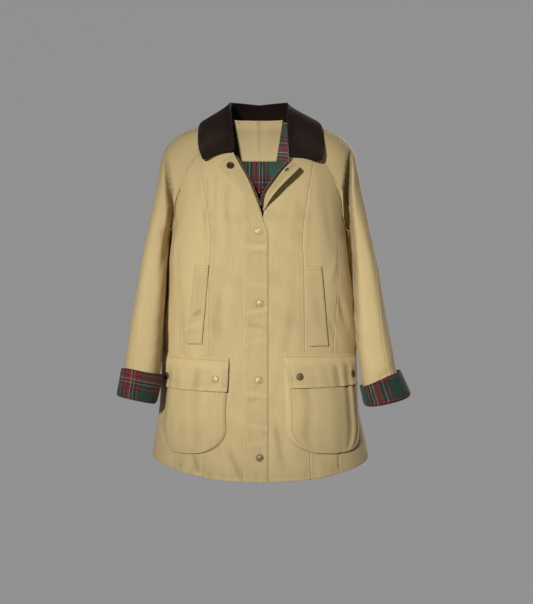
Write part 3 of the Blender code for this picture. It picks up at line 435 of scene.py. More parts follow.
ZIP_FACE = {"right": -0.0016, "left": 0.0013}
ZIP_EDGES = {"right": (-0.0065, 0.0045), "left": (0.0045, -0.0065)}
ZIP_TOP = {"right": -0.074, "left": -0.088}
LINING_DEPTH = 0.0028       # how far the lining lies inside the shell
LINING_HEM = 0.030          # and how far above the hem it ends
LINING_EASE = 0.0030        # and how far it ends beside a seam
SLEEVE_END = -0.561
CUFF_RISE = {"right": 0.050, "left": 0.0375}        # how far up the sleeve its turned cuff reaches
CUFF_DEPTH = 0.050
HALF_GIRTH = 0.5256         # from the centre front to the centre back, round the body


# ---- sizes and colours a user would change
class JacketSizes(bpy.types.PropertyGroup):
    """Sizes of the jacket's cloth and sewing."""
    shell: bpy.props.FloatProperty(
        name="Shell cloth", description="Thickness of the cotton twill",
        default=0.0011, unit="LENGTH", precision=4)
    lining: bpy.props.FloatProperty(
        name="Lining cloth", description="Thickness of the plaid cotton",
        default=0.0007, unit="LENGTH", precision=4)
    cord: bpy.props.FloatProperty(
        name="Collar cloth", description="Thickness of one leaf of the collar", default=0.0018, unit="LENGTH",
        precision=4)
    folds: bpy.props.FloatProperty(
        name="Fold depth", description="Share of the full depth of the soft folds",
        default=1.0, min=0.0, max=1.5)
    stitch: bpy.props.FloatProperty(
        name="Stitch pitch", description="Distance from one stitch to the next",
        default=0.0034, unit="LENGTH", precision=4)
    thread: bpy.props.FloatProperty(
        name="Thread", description="Thickness of the sewing thread",
        default=0.00055, unit="LENGTH", precision=5)
    repeat: bpy.props.FloatProperty(
        name="Plaid repeat", description="Size of one repeat of the plaid",
        default=0.088, unit="LENGTH", precision=4)
    wale: bpy.props.FloatProperty(
        name="Corduroy wale", description="Distance from one corduroy rib to the next", default=0.0015,
        unit="LENGTH", precision=4)
    tooth: bpy.props.FloatProperty(
        name="Zip tooth pitch", description="Distance from one zip tooth to the next", default=0.0022,
        unit="LENGTH", precision=4)


class JacketColours(bpy.types.PropertyGroup):
    """Colours of the jacket's cloth and metal."""
    twill: bpy.props.FloatVectorProperty(
        name="Twill", description="Khaki of the shell", subtype="COLOR", size=3,
        default=(0.582, 0.449, 0.223))
    thread: bpy.props.FloatVectorProperty(
        name="Thread", description="Sewing thread", subtype="COLOR", size=3, default=(0.520, 0.380, 0.190))
    cord: bpy.props.FloatVectorProperty(
        name="Corduroy", description="Brown of the collar", subtype="COLOR", size=3,
        default=(0.020, 0.0122, 0.0102))
    green: bpy.props.FloatVectorProperty(
        name="Plaid green", description="Ground of the plaid", subtype="COLOR", size=3,
        default=(0.014, 0.050, 0.030))
    red: bpy.props.FloatVectorProperty(
        name="Plaid red", description="Red of the plaid", subtype="COLOR", size=3,
        default=(0.220, 0.016, 0.026))
    cream: bpy.props.FloatVectorProperty(
        name="Plaid cream", description="Cream of the plaid", subtype="COLOR", size=3,
        default=(0.300, 0.265, 0.200))
    brass: bpy.props.FloatVectorProperty(
        name="Brass", description="Antique brass of the snaps", subtype="COLOR", size=3,
        default=(0.520, 0.380, 0.190))
    tape: bpy.props.FloatVectorProperty(
        name="Zip tape", description="Brown of the zip tape", subtype="COLOR", size=3,
        default=(0.045, 0.027, 0.018))


PLAID_FIXED = {"black": (0.010, 0.010, 0.014), "navy": (0.014, 0.020, 0.050)}


# ---- numbers
def mix(first, second, share):
    """Straight blend of two numbers or arrays."""
    return first * (1.0 - share) + second * share


def ease(share):
    """0 to 1 with soft ends."""
    share = np.clip(share, 0.0, 1.0)
    return share * share * (3.0 - 2.0 * share)


def bump(distance, width):
    """Bell of a width, 1 in the middle."""
    return np.exp(-(distance / width) ** 2)


def read(rows, column, at, key=None):
    """A column of a table between its rows, along a smooth curve; the key is the first or a named column."""
    places = np.array([getattr(row, key or row._fields[0]) for row in rows])
    values = np.array([getattr(row, column) for row in rows])
    before = np.r_[0, np.arange(len(rows) - 1)]
    after = np.r_[np.arange(1, len(rows)), len(rows) - 1]
    slopes = (values[after] - values[before]) / (places[after] - places[before])
    at = np.clip(np.asarray(at, dtype=float), places[0], places[-1])
    low = np.clip(np.searchsorted(places, at, side="right") - 1, 0, len(rows) - 2)
    span = places[low + 1] - places[low]
    t = (at - places[low]) / span
    rise = values[low] * (2 * t ** 3 - 3 * t ** 2 + 1) + values[low + 1] * (3 * t ** 2 - 2 * t ** 3)
    return rise + span * (slopes[low] * (t ** 3 - 2 * t ** 2 + t) + slopes[low + 1] * (t ** 3 - t ** 2))


def unit(vectors):
    """Vectors of length one."""
    return vectors / np.maximum(np.linalg.norm(vectors, axis=-1, keepdims=True), 1e-9)


def spread(*parts):
    """Arrays of numbers, all of one shape."""
    return np.broadcast_arrays(*(np.asarray(part, float) for part in parts))


def xyz(*parts):
    """Points from their coordinates."""
    return np.stack(spread(*parts), axis=-1)


# ---- the body surface
def body(column, height):
    """One value of the body's table at a height, settling softly above the chest."""
    return read(BODY, column, CHEST_TOP - 0.008 * np.logaddexp(0.0, (CHEST_TOP - height) / 0.008))


def body_point(angle, height):
    """Point of the body; angle 0 is the centre front, 90 degrees the wearer's left side."""
    power = 2.0 / body("corner", height)
    sine, cosine = np.sin(angle), np.cos(angle)
    across = body("half_width", height) * np.copysign(np.abs(sine) ** power, sine)
    front = cosine > 0.0
    depth = np.where(front, body("front_depth", height), body("back_depth", height))
    y = -np.copysign(depth * np.abs(cosine) ** power, cosine)
    ridge = read(RIDGE, "height", np.abs(across))
    rise = np.clip((height - CHEST_TOP) / (ridge - CHEST_TOP), 0.0, 1.0)
    roundness = np.where(front, FRONT_ROUND, BACK_ROUND)
    y = RIDGE_Y * (height > CHEST_TOP) + (y - RIDGE_Y * (height > CHEST_TOP)) * (
        1.0 - rise ** roundness) ** (1.0 / roundness)
    return xyz(across + body("shift", height), y, height)


def body_normal(angle, height):
    """Outward normal of the body."""
    step = 0.002
    across = body_point(angle + step, height) - body_point(angle - step, height)
    top = np.where(height > CHEST_TOP, height, height + step)
    upward = body_point(angle, top) - body_point(angle, height - step)
    return unit(np.cross(across, upward))


def front_angle(across, height):
    """Angle of the front surface at a signed distance from the centre."""
    from_middle = across - body("shift", height)
    share = np.minimum(np.abs(from_middle) / body("half_width", height), 1.0)
    return np.copysign(np.arcsin(share ** (body("corner", height) / 2.0)), from_middle)


def girth_table():
    """Angles round the body and the distance round it from the centre front."""
    angles = np.linspace(0.0, math.pi, 2001)
    ring = body_point(angles, np.full_like(angles, -0.42))
    steps = np.linalg.norm(np.diff(ring, axis=0), axis=1)
    return angles, np.r_[0.0, np.cumsum(steps)]


GIRTH_ANGLES, GIRTH_ROUND = girth_table()


def girth(angle):
    """Signed distance round the body from the centre front."""
    return np.copysign(np.interp(np.abs(angle), GIRTH_ANGLES, GIRTH_ROUND), angle)


def fold_depth(rows, across, height, stretch=1.0):
    """Height of the soft folds of a table at places on the cloth."""
    total = np.zeros(np.broadcast(across, height).shape)
    for row in rows:
        start = np.array([row.start_s * stretch, row.start_z])
        along = np.array([row.end_s * stretch, row.end_z]) - start
        length = np.linalg.norm(along)
        along = along / length
        off_x, off_z = across - start[0], height - start[1]
        run = (off_x * along[0] + off_z * along[1]) / length
        bowed = row.bow * (1.0 - (2.0 * np.clip(run, 0.0, 1.0) - 1.0) ** 2)
        side = off_x * along[1] - off_z * along[0] - bowed
        ends = ease((run + 0.30) / 0.55) * ease((1.30 - run) / 0.55)
        wide = row.width * (0.75 + 0.5 * np.clip(run, 0.0, 1.0))
        total += row.depth * bump(side, wide) * ends
    return total


def slack(across, height):
    """Faint unevenness of hung cotton."""
    return (0.00045 * np.sin(23.0 * across + 3.1 * height + 0.6) * np.sin(9.0 * height + 11.0 * across + 1.0)
            + 0.0003 * np.sin(61.0 * across - 17.0 * height + 2.0) * np.sin(27.0 * height + 1.7)
            + 0.00018 * np.sin(120.0 * across + 31.0 * height) * np.sin(74.0 * height - 40.0 * across + 0.4))


def relief(angle, height):
    """Height of the body's soft folds; nothing along the raglan seams and the neck."""
    around = girth(angle)
    front = 1.0 - ease((np.abs(around) - 0.19) / 0.07)
    depth = fold_depth(BODY_FOLDS, around, height) * mix(1.0, 0.50, front) + slack(around, height) * 0.8
    return depth * SIZES.folds * calm(angle, height)


def calm(angle, height):
    """1 on the free cloth and 0 at the raglan seams."""
    across = np.abs(body_point(angle, height)[..., 0])
    return ease((raglan_x(np.cos(angle) > 0.0, height) - across) / 0.024)


RAGLAN_RUN = np.linspace(0.0, NECK, 161)


def raglan_x(front, height):
    """Distance of the raglan seam from the centre at a height; far out below the underarm."""
    at_front, at_back = (
        np.interp(height, read(RAGLAN, f"{face}_z", RAGLAN_RUN),
                  read(RAGLAN, f"{face}_x", RAGLAN_RUN)) for face in ("front", "back"))
    below = np.maximum(UNDERARM - height, 0.0) * 2.0
    return np.where(front, at_front, at_back) + below


def raglan_angle(face, station):
    """Angle of the raglan seam on the front or the back, at a station between 0 and 8."""
    angle = front_angle(read(RAGLAN, f"{face}_x", station), read(RAGLAN, f"{face}_z", station))
    angle = np.where(station < 0.001, math.pi / 2.0, angle)
    return angle if face == "front" else math.pi - angle


def skin(angle, height, offset=0.0):
    """Point of the folded cloth, moved out along the body's normal."""
    angle, height = spread(angle, height)
    lift = relief(angle, height) + offset
    return body_point(angle, height) + body_normal(angle, height) * np.asarray(lift)[..., None]


def seam_angle(column, side, height):
    """Angle of a front seam at a height."""
    skew = -PRINCESS_SKEW if column == "princess" else 0.0
    return front_angle(SIGN[side] * read(SEAMS, column, height) + skew, height)


def hem_height(angle):
    """Height of the hem round the body."""
    cosine = np.cos(angle)
    dip = np.where(cosine > 0.0, FRONT_DIP, BACK_DIP)
    sine = np.sin(angle)
    lean = np.where(sine > 0.0, 0.0034, 0.0010) * sine
    return SIDE_HEM - dip * np.abs(cosine) ** 1.3 + SIDE_RISE * np.abs(sine) ** 2.2 - lean


def fold_x(side, height):
    """Signed distance of a lapel's fold line from the centre at a height."""
    rows = LAPELS[side]
    low = rows[0]
    slope = (rows[1].fold_x - low.fold_x) / (rows[1].fold_z - low.fold_z)
    below = low.fold_x + slope * (height - low.fold_z)
    return np.where(height <= low.fold_z, below, read(rows, "fold_x", height, key="fold_z"))


# ---- sewn edges
EDGE_STEPS = (0.0, 0.0007, 0.0014, 0.0021, 0.0028, 0.0037, 0.0050, 0.0064, 0.0072, 0.0080, 0.0089, 0.0104,
              0.0130)
STITCH_ROWS = (0.0021, 0.0080)
HEM_STITCH = 0.0078         # height of the hem's stitches
SEAM_LEAN = 0.82            # distance from the raglan seam for each metre across the back


def shares(width, coarse, low=True, high=True):
    """Places across a piece of that width: close together by its sewn edges, a coarse step apart between."""
    steps = np.array(EDGE_STEPS)
    start = steps if low else steps[:1]
    stop = width - (steps if high else steps[:1])
    middle = np.linspace(start[-1], stop[-1], max(int((stop[-1] - start[-1]) / coarse), 2) + 1)
    return np.concatenate([start[:-1], middle, stop[:-1][::-1]]) / width


def sewn(distance, run=0.0):
    """Raised, twice stitched edge of a seam, at a distance inside it; run is the way along it."""
    raised = 0.00030 * ease(distance / 0.0012) * (1.0 - ease((distance - 0.0092) / 0.0030))
    rows = sum(bump(distance - row, 0.0008) for row in STITCH_ROWS)
    pucker = 0.00010 * bump(distance - 0.005, 0.005) * (
        np.sin(run * 690.0) + 0.8 * np.sin(run * 410.0 + 1.0) + 0.6 * np.sin(run * 177.0 + 2.0))
    return raised - 0.00040 * rows - 0.0006 * bump(distance, 0.0011) + pucker


def single(distance, run=0.0):
    """Edge with one row of stitches."""
    pucker = 0.00009 * bump(distance - 0.002, 0.004) * (np.sin(run * 640.0) + 0.7 * np.sin(run * 373.0 + 1.0))
    return -0.00036 * bump(distance - STITCH_ROWS[0], 0.0008) - 0.0005 * bump(distance, 0.0010) + pucker


def butted(distance):
    """Edge that turns down into a seam."""
    return -0.0008 * bump(distance, 0.0012)


# ---- places on each piece
FRONT_TOP = -0.0175


def side_place(side, u, v):
    """Front side panel; u is 0 at the side or raglan seam and 1 at the princess seam."""
    hem = hem_height(mix(seam_angle("side", side, SIDE_HEM), seam_angle("princess", side, SIDE_HEM), u))
    height = mix(hem, PRINCESS_TOP, v)
    across = np.where(height < SIDE_TOP, read(SEAMS, "side", height), raglan_x(True, height))
    outer = front_angle(SIGN[side] * across, height)
    inner = seam_angle("princess", side, height)
    inner = np.where(np.abs(inner) < np.abs(outer), inner, outer)
    angle = mix(outer, inner, u)
    width = np.abs(girth(outer) - girth(inner))
    edge = sewn(u * width, height) + butted((1.0 - u) * width) + hemmed(height - hem, girth(angle))
    return skin(angle, height, edge * ease(width / 0.02))


def hemmed(above, run):
    """Turned hem: a raised band with one row of stitches on top."""
    band = 0.00035 * (1.0 - ease((above - 0.0095) / 0.0025))
    pucker = 0.00020 * bump(above - 0.007, 0.008) * (np.sin(run * 350.0) + 0.7 * np.sin(run * 211.0 + 1.0))
    return band - 0.0004 * bump(above - HEM_STITCH, 0.0008) - 0.0005 * bump(above, 0.0012) + pucker


def centre_x(side, height):
    """Signed distance of a front's inner edge: the zip line below, the fold line in the V."""
    turned = fold_x(side, height) + SIGN[side] * 0.0024
    if side == "right":
        return np.minimum(ZIP_X - 0.0001, turned)
    return np.maximum(ZIP_X + 0.0001, turned)


def centre_place(side, u, v):
    """Front centre panel; u is 0 at the princess or raglan seam and 1 at the zip line or fold line."""
    hem = hem_height(mix(seam_angle("princess", side, SIDE_HEM), 0.0, u))
    top = mix(FRONT_TOP, V_TOP[side][1], ease(u) * 0.4 + u * 0.6)
    height = mix(hem, top, v)
    princess = read(SEAMS, "princess", height) - SIGN[side] * PRINCESS_SKEW
    across = np.where(height < PRINCESS_TOP, princess, np.minimum(princess, raglan_x(True, height)))
    outer = front_angle(SIGN[side] * across, height)
    inner = front_angle(centre_x(side, height), height)
    angle = mix(outer, inner, u)
    width = np.abs(girth(outer) - girth(inner))
    edge = sewn(u * width, height) + hemmed(height - hem, girth(angle))
    return skin(angle, height, edge)


def back_place(u, v, lift=0.0, hem_lift=0.0, edges=True):
    """Back, from the wearer's left side seam (0) round to the right one (1)."""
    mirrored = u > 0.5
    half = np.where(mirrored, 2.0 * (1.0 - u), 2.0 * u)
    place = half * 12.0
    front_station = np.clip(2.0 - place, 0.0, 2.0)
    back_station = np.clip(place - 2.0, 0.0, NECK)
    neck = ease(np.clip(place - 10.0, 0.0, 2.0) / 2.0)
    top_angle = np.where(place < 2.0, raglan_angle("front", front_station),
                         raglan_angle("back", back_station))
    top = np.where(place < 2.0, read(RAGLAN, "front_z", front_station),
                   read(RAGLAN, "back_z", back_station))
    last = raglan_angle("back", NECK)
    top_angle = np.where(place > 10.0, mix(last, math.pi, np.clip(place - 10.0, 0.0, 2.0) / 2.0), top_angle)
    top = np.where(place > 10.0, mix(RAGLAN[-1].back_z, BACK_NECK, neck), top)
    side_hem = np.where(mirrored, -seam_angle("side", "right", SIDE_HEM),
                        seam_angle("side", "left", SIDE_HEM))
    hem = hem_height(mix(side_hem, math.pi, half) * np.where(mirrored, -1.0, 1.0)) + hem_lift
    height = mix(hem, top, v)
    low = np.minimum(height, SIDE_TOP)
    side_now = np.where(mirrored, -seam_angle("side", "right", low), seam_angle("side", "left", low))
    first = raglan_angle("front", 2.0)
    share_top = (top_angle - first) / (math.pi - first)
    share = mix(half, share_top, ease((height - hem) / (-0.240 - hem)))
    angle = mix(side_now, math.pi, share)
    signed = np.where(mirrored, -angle, angle)
    edge = 0.0
    if edges:
        width = HALF_GIRTH - np.abs(girth(side_now))
        seam = (raglan_x(np.cos(angle) > 0.0, height) - np.abs(body_point(angle, height)[..., 0])) * SEAM_LEAN
        edge = butted(share * width) + hemmed(height - hem, girth(signed))
        edge = edge + sewn(np.maximum(seam, 0.0), girth(signed)) * (height > -0.225)
    return skin(signed, height, edge + lift)


def front_lining_place(side, u, v):
    """Lining of a front; u is 0 at the side seam and 1 at the zip line or fold line."""
    hem = hem_height(mix(seam_angle("side", side, SIDE_HEM), 0.0, u)) + LINING_HEM
    height = mix(hem, mix(-0.075, V_TOP[side][1] - 0.004, u), v)
    across = np.where(height < SIDE_TOP, read(SEAMS, "side", height), raglan_x(True, height))
    outer = front_angle(SIGN[side] * (across - LINING_EASE), height)
    edge = front_angle(centre_x(side, height) + SIGN[side] * LINING_EASE, height)
    return skin(mix(outer, edge, u), height, -LINING_DEPTH)


ROUND_POWER = 0.86          # squareness of a sleeve's section
INNER_POWER = 0.52          # and of its flatter side beside the body


def quarter(first, second, centre, share, power):
    """Quarter of a rounded section from one point to the next, round a centre."""
    turn = share[..., None] * math.pi / 2.0
    power = np.asarray(power)[..., None]
    return centre + (first - centre) * np.abs(np.cos(turn)) ** power + (second - centre) * np.abs(
        np.sin(turn)) ** power


def four_quarters(corners, centres, u, inner=ROUND_POWER):
    """Point of a section made of four rounded quarters, the first and the last beside the body."""
    part = np.minimum((u * 4.0).astype(int), 3)
    share = u * 4.0 - part
    placed = np.zeros(u.shape + (3,))
    for number in range(4):
        chosen = (part == number)[..., None]
        power = inner if number in (0, 3) else ROUND_POWER
        turned = quarter(corners[number], corners[number + 1], centres[number], share, power)
        placed = np.where(chosen, turned, placed)
    return placed


def raglan_section(u, station):
    """Point of the sleeve's open upper part, over the shoulder from the front seam to the back seam."""
    rows = {name: read(RAGLAN, name, station) for name in RAGLAN[0]._fields[1:]}
    front = body_point(raglan_angle("front", station), rows["front_z"])
    back = body_point(raglan_angle("back", station), rows["back_z"])
    under = ease(station / 0.25)[..., None]
    underarm = np.array((0.1812, 0.0, UNDERARM))
    front, back = mix(underarm, front, under), mix(underarm, back, under)
    top = xyz(rows["top_x"], RIDGE_Y * ease((station - 3.5) / 1.5), rows["top_z"])
    open_part = np.maximum(0.0, 1.0 - station / 5.0)[..., None]
    corners = [front, None, top, None, back]
    for index, end, sign, pick in ((1, front, -1.0, np.minimum), (3, back, 1.0, np.maximum)):
        bulge = xyz(rows["bulge_x"], pick(sign * rows["bulge_y"], end[..., 1]),
                    mix(end[..., 2], top[..., 2], 0.5))
        bulge = mix(end + (top - end) * 0.02, bulge, open_part)
        bulge[..., 1] = mix(bulge[..., 1], end[..., 1], ease(station - 4.0))
        corners[index] = bulge
    centres = []
    for number in range(4):
        bulge = corners[1] if number < 2 else corners[3]
        other = (front, top, top, back)[number]
        centres.append(xyz(bulge[..., 0], other[..., 1], bulge[..., 2]))
    return four_quarters(corners, centres, u)


def ring_axes(side, height):
    """Centre, outward half axis, front half axis and downward direction of a sleeve's ring."""
    row = {name: read(SLEEVES[side], name, height) for name in SLEEVES[side][0]._fields[1:]}
    lean, front = np.radians(row["lean_out"]), np.radians(row["lean_front"])
    zero = np.zeros_like(lean)
    centre = xyz((row["inner"] + row["outer"]) / 2.0, -row["forward"], height)
    out_axis = xyz(np.cos(lean), zero, np.sin(lean))
    front_axis = xyz(zero, -np.cos(front), np.sin(front))
    down = unit(np.cross(out_axis, front_axis))
    down = np.where(down[..., 2:] > 0.0, -down, down)
    half = (row["outer"] - row["inner"]) / 2.0 / np.cos(lean)
    return centre, out_axis * half[..., None], front_axis * row["half_deep"][..., None], down


def ring_point(centre, out_axis, front_axis, u, inner=ROUND_POWER):
    """Point of a closed ring; u runs from the inner line by the front, outer line and back."""
    corners = (centre - out_axis, centre + front_axis, centre + out_axis, centre - front_axis,
               centre - out_axis)
    return four_quarters(corners, (centre,) * 4, u, inner)


UPPER_SLEEVE = 0.40         # share of a sleeve's rows that lie along the raglan seam
SLEEVE_GIRTH = 0.245        # about the distance round it


def sleeve_base(side, u, v):
    """Smooth sleeve; v is 0 at the neck and 1 at the sleeve's end."""
    station = NECK * (1.0 - np.clip(v / UPPER_SLEEVE, 0.0, 1.0))
    lower = np.clip((v - UPPER_SLEEVE) / (1.0 - UPPER_SLEEVE), 0.0, 1.0)
    height = mix(UNDERARM, SLEEVE_END, lower)
    centre, out_axis, front_axis, _ = ring_axes(side, height)
    above = raglan_section(u, station)
    flatter = ease(lower / 0.12) * (1.0 - ease((lower - 0.70) / 0.28))
    below = ring_point(centre, out_axis, front_axis, u, mix(ROUND_POWER, INNER_POWER, flatter))
    return np.where((v < UPPER_SLEEVE)[..., None], above, below)


def over_seam(v):
    """Share round the sleeve of its long front seam."""
    return mix(0.415, 0.300, ease(v / 0.9))


def sleeve_place(side, u, v):
    """Sleeve with its folds and seams."""
    u, v = spread(u, v)
    step = 0.0015
    base = sleeve_base(side, u, v)
    u_low, u_high = np.clip(u - step, 0.0, 1.0), np.clip(u + step, 0.0, 1.0)
    around = sleeve_base(side, u_high, v) - sleeve_base(side, u_low, v)
    v_low, v_high = np.clip(v - 0.004, 0.0, 1.0), np.clip(v + 0.004, 0.0, 1.0)
    along = sleeve_base(side, u, v_low) - sleeve_base(side, u, v_high)
    normal = unit(np.cross(around, along))
    height = base[..., 2]
    folds = sum(fold_depth(SLEEVE_FOLDS[side], (u + lap) * SLEEVE_GIRTH, height, SLEEVE_GIRTH)
                for lap in (0.0, -1.0, 1.0))
    folds = folds * mix(0.25, 1.0, ease((u - 0.45) / 0.1))
    folds = folds + slack(u * SLEEVE_GIRTH + SIGN[side] * 0.8, height)
    at_seam = np.minimum(u, 1.0 - u) * SLEEVE_GIRTH
    free = mix(ease(at_seam / 0.024), 1.0, ease((v - UPPER_SLEEVE) / 0.10))
    from_seam = (u - over_seam(v)) * SLEEVE_GIRTH
    seam = -0.0006 * bump(from_seam, 0.0010) + 0.0004 * bump(from_seam - 0.004, 0.0035)
    seam = seam + butted(at_seam) * np.where(v < UPPER_SLEEVE, 1.0, 0.8)
    depth = folds * free * SIZES.folds * ease((1.0 - v) / 0.05) + seam
    placed = base + normal * np.asarray(depth)[..., None]
    rows = ARMHOLES[side]
    wide = read(rows, "wide", height)
    off = base[..., 0] - read(rows, "middle", height)
    hold = read(rows, "hold", height)
    sunk = ease((off + 0.001) / 0.0035) * (1.0 - ease((off - hold) / wide))
    facing = ease(-normal[..., 1] / 0.5) * (u < 0.5) * ease(at_seam / 0.006)
    deep = read(rows, "deep", height)
    middle = -read(SLEEVES[side], "forward", height)
    pressed = (middle - placed[..., 1]) * np.minimum(deep / 0.060, 0.95) * sunk * (u < 0.5)
    placed[..., 1] += mix(deep * sunk * facing, pressed, ease((v - UPPER_SLEEVE) / 0.03))
    return placed * np.array((SIGN[side], 1.0, 1.0))


CUFF_SECTION = table("""
along out up
0 -.0026 .014
1 -.0024 .002
2 0 -.0036
3 .0036 -.0032
4 .0058 .003
5 .0062 .025
6 .007 .049
7 .0058 .0506
8 .0046 .0485
""")


def cuff_place(side, u, v):
    """Turned-back cuff, from inside the sleeve round its end and up the outside."""
    u, v = spread(u, v)
    out = read(CUFF_SECTION, "out", v * 8.0)
    up = read(CUFF_SECTION, "up", v * 8.0)
    phase = 1.3 if side == "right" else 2.6
    turn = u * 2.0 * math.pi
    outer = ease((v - 0.35) / 0.3)
    uneven = 0.0009 * np.sin(2.0 * turn + phase) + 0.0006 * np.sin(5.0 * turn + 2.0 * phase)
    out = out + outer * (uneven - 0.0004)
    up = up * (1.0 + 0.035 * outer * np.sin(turn + phase) + 0.018 * outer * np.sin(3.0 * turn + phase))
    end = np.full_like(u, SLEEVE_END)
    centre, out_axis, front_axis, down = ring_axes(side, end)
    high_centre, high_out, high_front, _ = ring_axes(side, end + CUFF_RISE[side])
    rise = (np.maximum(up, 0.0) / CUFF_DEPTH)[..., None]
    middle = mix(centre, high_centre, rise) + down * np.maximum(-up, 0.0)[..., None]
    out_now = mix(out_axis, high_out, rise)
    front_now = mix(front_axis, high_front, rise)
    out_now = out_now + unit(out_now) * out[..., None]
    front_now = front_now + unit(front_now) * out[..., None]
    return ring_point(middle, out_now, front_now, u) * np.array((SIGN[side], 1.0, 1.0))


def neckline(side, along):
    """Point of the neckline: 0 front end, 1 front raglan seam, 2 back raglan seam, 3 centre back."""
    end = RAGLAN[-1]
    share = np.clip(along, 0.0, 1.0)
    height = mix(V_TOP[side][1], end.front_z, share)
    front = body_point(front_angle(mix(V_TOP[side][0], end.front_x, share), height), height)
    over = raglan_section(np.clip(along - 1.0, 0.0, 0.9999), np.full_like(along, NECK))
    share = np.clip(along - 2.0, 0.0, 1.0)
    behind = body_point(mix(raglan_angle("back", NECK), math.pi, share), mix(end.back_z, BACK_NECK, share))
    return np.where((along <= 1.0)[..., None], front, np.where((along <= 2.0)[..., None], over, behind))


def curve(points, place):
    """Point of a smooth curve through a list of points, at a place counted in points."""
    low = np.clip(place.astype(int), 0, len(points) - 2)
    t = (place - low)[..., None]
    stack = np.stack(points)
    index = np.indices(low.shape)

    def pick(number):
        return stack[(np.clip(number, 0, len(points) - 1), *index)]
    before, first, second, after = pick(low - 1), pick(low), pick(low + 1), pick(low + 2)
    slope_one, slope_two = (second - before) / 2.0, (after - first) / 2.0
    return (first * (2 * t ** 3 - 3 * t ** 2 + 1) + second * (3 * t ** 2 - 2 * t ** 3)
            + slope_one * (t ** 3 - 2 * t ** 2 + t) + slope_two * (t ** 3 - t ** 2))


COLLAR_ROUND = {"right": (0.14, 0.90), "left": (0.26, 0.84)}


def collar_place(side, along, step):
    """Collar: stand from the neckline (step 0), round the fold and down to the free edge (step 7)."""
    along, step = spread(along, step)
    reach, start = COLLAR_ROUND[side]
    p = np.clip(1.0 - along / reach, 0.0, 1.0)
    q = np.clip((step / 7.0 - start) / (1.0 - start), 0.0, 1.0)
    p_round, q_round = p * np.sqrt(1.0 - q * q / 2.0), q * np.sqrt(1.0 - p * p / 2.0)
    along = np.where(p > 0.0, reach * (1.0 - p_round), along)
    step = np.where(q > 0.0, 7.0 * (start + (1.0 - start) * q_round), step)
    rows = COLLARS[side]
    fold = xyz(*(read(rows, f"fold_{axis}", along) for axis in "xyz"))
    edge = xyz(*(read(rows, f"edge_{axis}", along) for axis in "xyz"))
    foot = neckline(side, along)
    flat = np.array((1.0, 1.0, 0.0))
    foot = foot - unit(foot * flat) * 0.0016 + np.array((0.0, 0.0, 0.0007))
    outward = unit((edge - fold) * flat)
    lower = np.array((0.0, 0.0, -0.0034))
    inner, outer = fold - outward * 0.0034 + lower, fold + outward * 0.0034 + lower
    full = (1.0 - ease((along - 0.5) / 0.7))[..., None]
    arch = (np.array((0.0, 0.0, 0.005)) + outward * 0.0025) * full
    arch = arch + (1.0 - full) * np.array((0.0, 0.0, 0.0014))
    places = [foot, mix(foot, inner, 0.5), inner, fold, outer, mix(outer, edge, 0.33) + arch,
              mix(outer, edge, 0.66) + arch, edge]
    placed = curve(places, np.clip(step, 0.0, 7.0))
    wave = 0.0010 * np.sin(along * 5.1 + (1.0 if side == "left" else 0.2)) * ease((step - 4.0) / 3.0)
    roll = -0.0012 * ease((step - 6.75) / 0.25)
    placed[..., 2] += wave + roll
    return placed * np.array((SIGN[side], 1.0, 1.0))


def fly_edge(height):
    """Signed distance of the fly's free edge from the centre, narrower below the V."""
    edge = FLY_OUTER - 0.0125 * ease((height + 0.236) / 0.046)
    return np.minimum(edge, fold_x("right", height) - 0.001)


FLY_RIPPLES = table("""
height depth
-.255 .0011
-.27 .0008
-.33 .0006
-.395 .001
-.412 -.0007
-.455 .0006
-.548 .001
-.566 -.0006
-.61 .0009
-.655 .0007
""")


def fly_place(u, v):
    """Storm fly; u is 0 at its seam and 1 at its free edge."""
    hem = hem_height(np.zeros_like(u))
    height = mix(hem, FLY_TOP, v)
    free = fly_edge(height)
    across = mix(FLY_INNER, free, u)
    width = free - FLY_INNER
    ripple = 0.0
    for number, row in enumerate(FLY_RIPPLES):
        tilt = (across - FLY_INNER) * (0.25 if number % 2 else -0.18)
        ripple = ripple + row.depth * bump(height - row.height - tilt, 0.0055) * ease(u / 0.35)
    pressed = sum(bump(height - snap, 0.011) for snap in FLY_SNAPS) * bump(across, 0.011)
    edge = sewn(u * width, height) + single((1.0 - u) * width, height) * 0.8
    edge = edge + hemmed(height - hem, across)
    return skin(front_angle(across, height), height,
                FLY_FACE + ripple * 0.5 * SIZES.folds - 0.0005 * pressed + edge)


def lapel_place(side, u, v):
    """Turned-back corner of a front; u is 0 at the fold, 1 at the free edge, v 0 at the bottom of the V."""
    u, v = spread(u, v)
    rows = LAPELS[side]
    (x, z), (free_x, free_z) = ([read(rows, f"{end}_{axis}", v) for axis in "xz"] for end in ("fold", "free"))
    width = np.hypot(x - free_x, z - free_z)
    x, z = mix(x, free_x, u), mix(z, free_z, u)
    edge = single(np.minimum((1.0 - u) * width, (1.0 - v) * 0.14), v * 0.14) * ease(width / 0.01)
    spring = LAPEL_SPRING[side] * ease(u) * ease(v * 2.4)
    turn = -0.0034 * bump(u * width, 0.0016) * (width > 0.004)
    wave = 0.0007 * np.sin(v * 9.0 + (0.5 if side == "left" else 2.0)) * u
    return skin(front_angle(x, z), z, LAPEL_LIFT[side] + edge + spring + turn + wave)


def zip_place(side, u, v, lift=0.0):
    """Zip tape along the V, on the wearer's right turned-back corner and under the left fold."""
    height = mix(-0.178, ZIP_TOP[side], v)
    across = fold_x(side, height) + mix(*ZIP_EDGES[side], u)
    return skin(front_angle(across, height), height, ZIP_FACE[side] + lift)


def pocket_angle(side, u):
    """Angle across a pocket; u is 0 at its inner edge."""
    row = POCKETS[side]
    return SIGN[side] * mix(front_angle(row.inner_x, POCKET_LEVEL), math.radians(row.outer_angle), u)


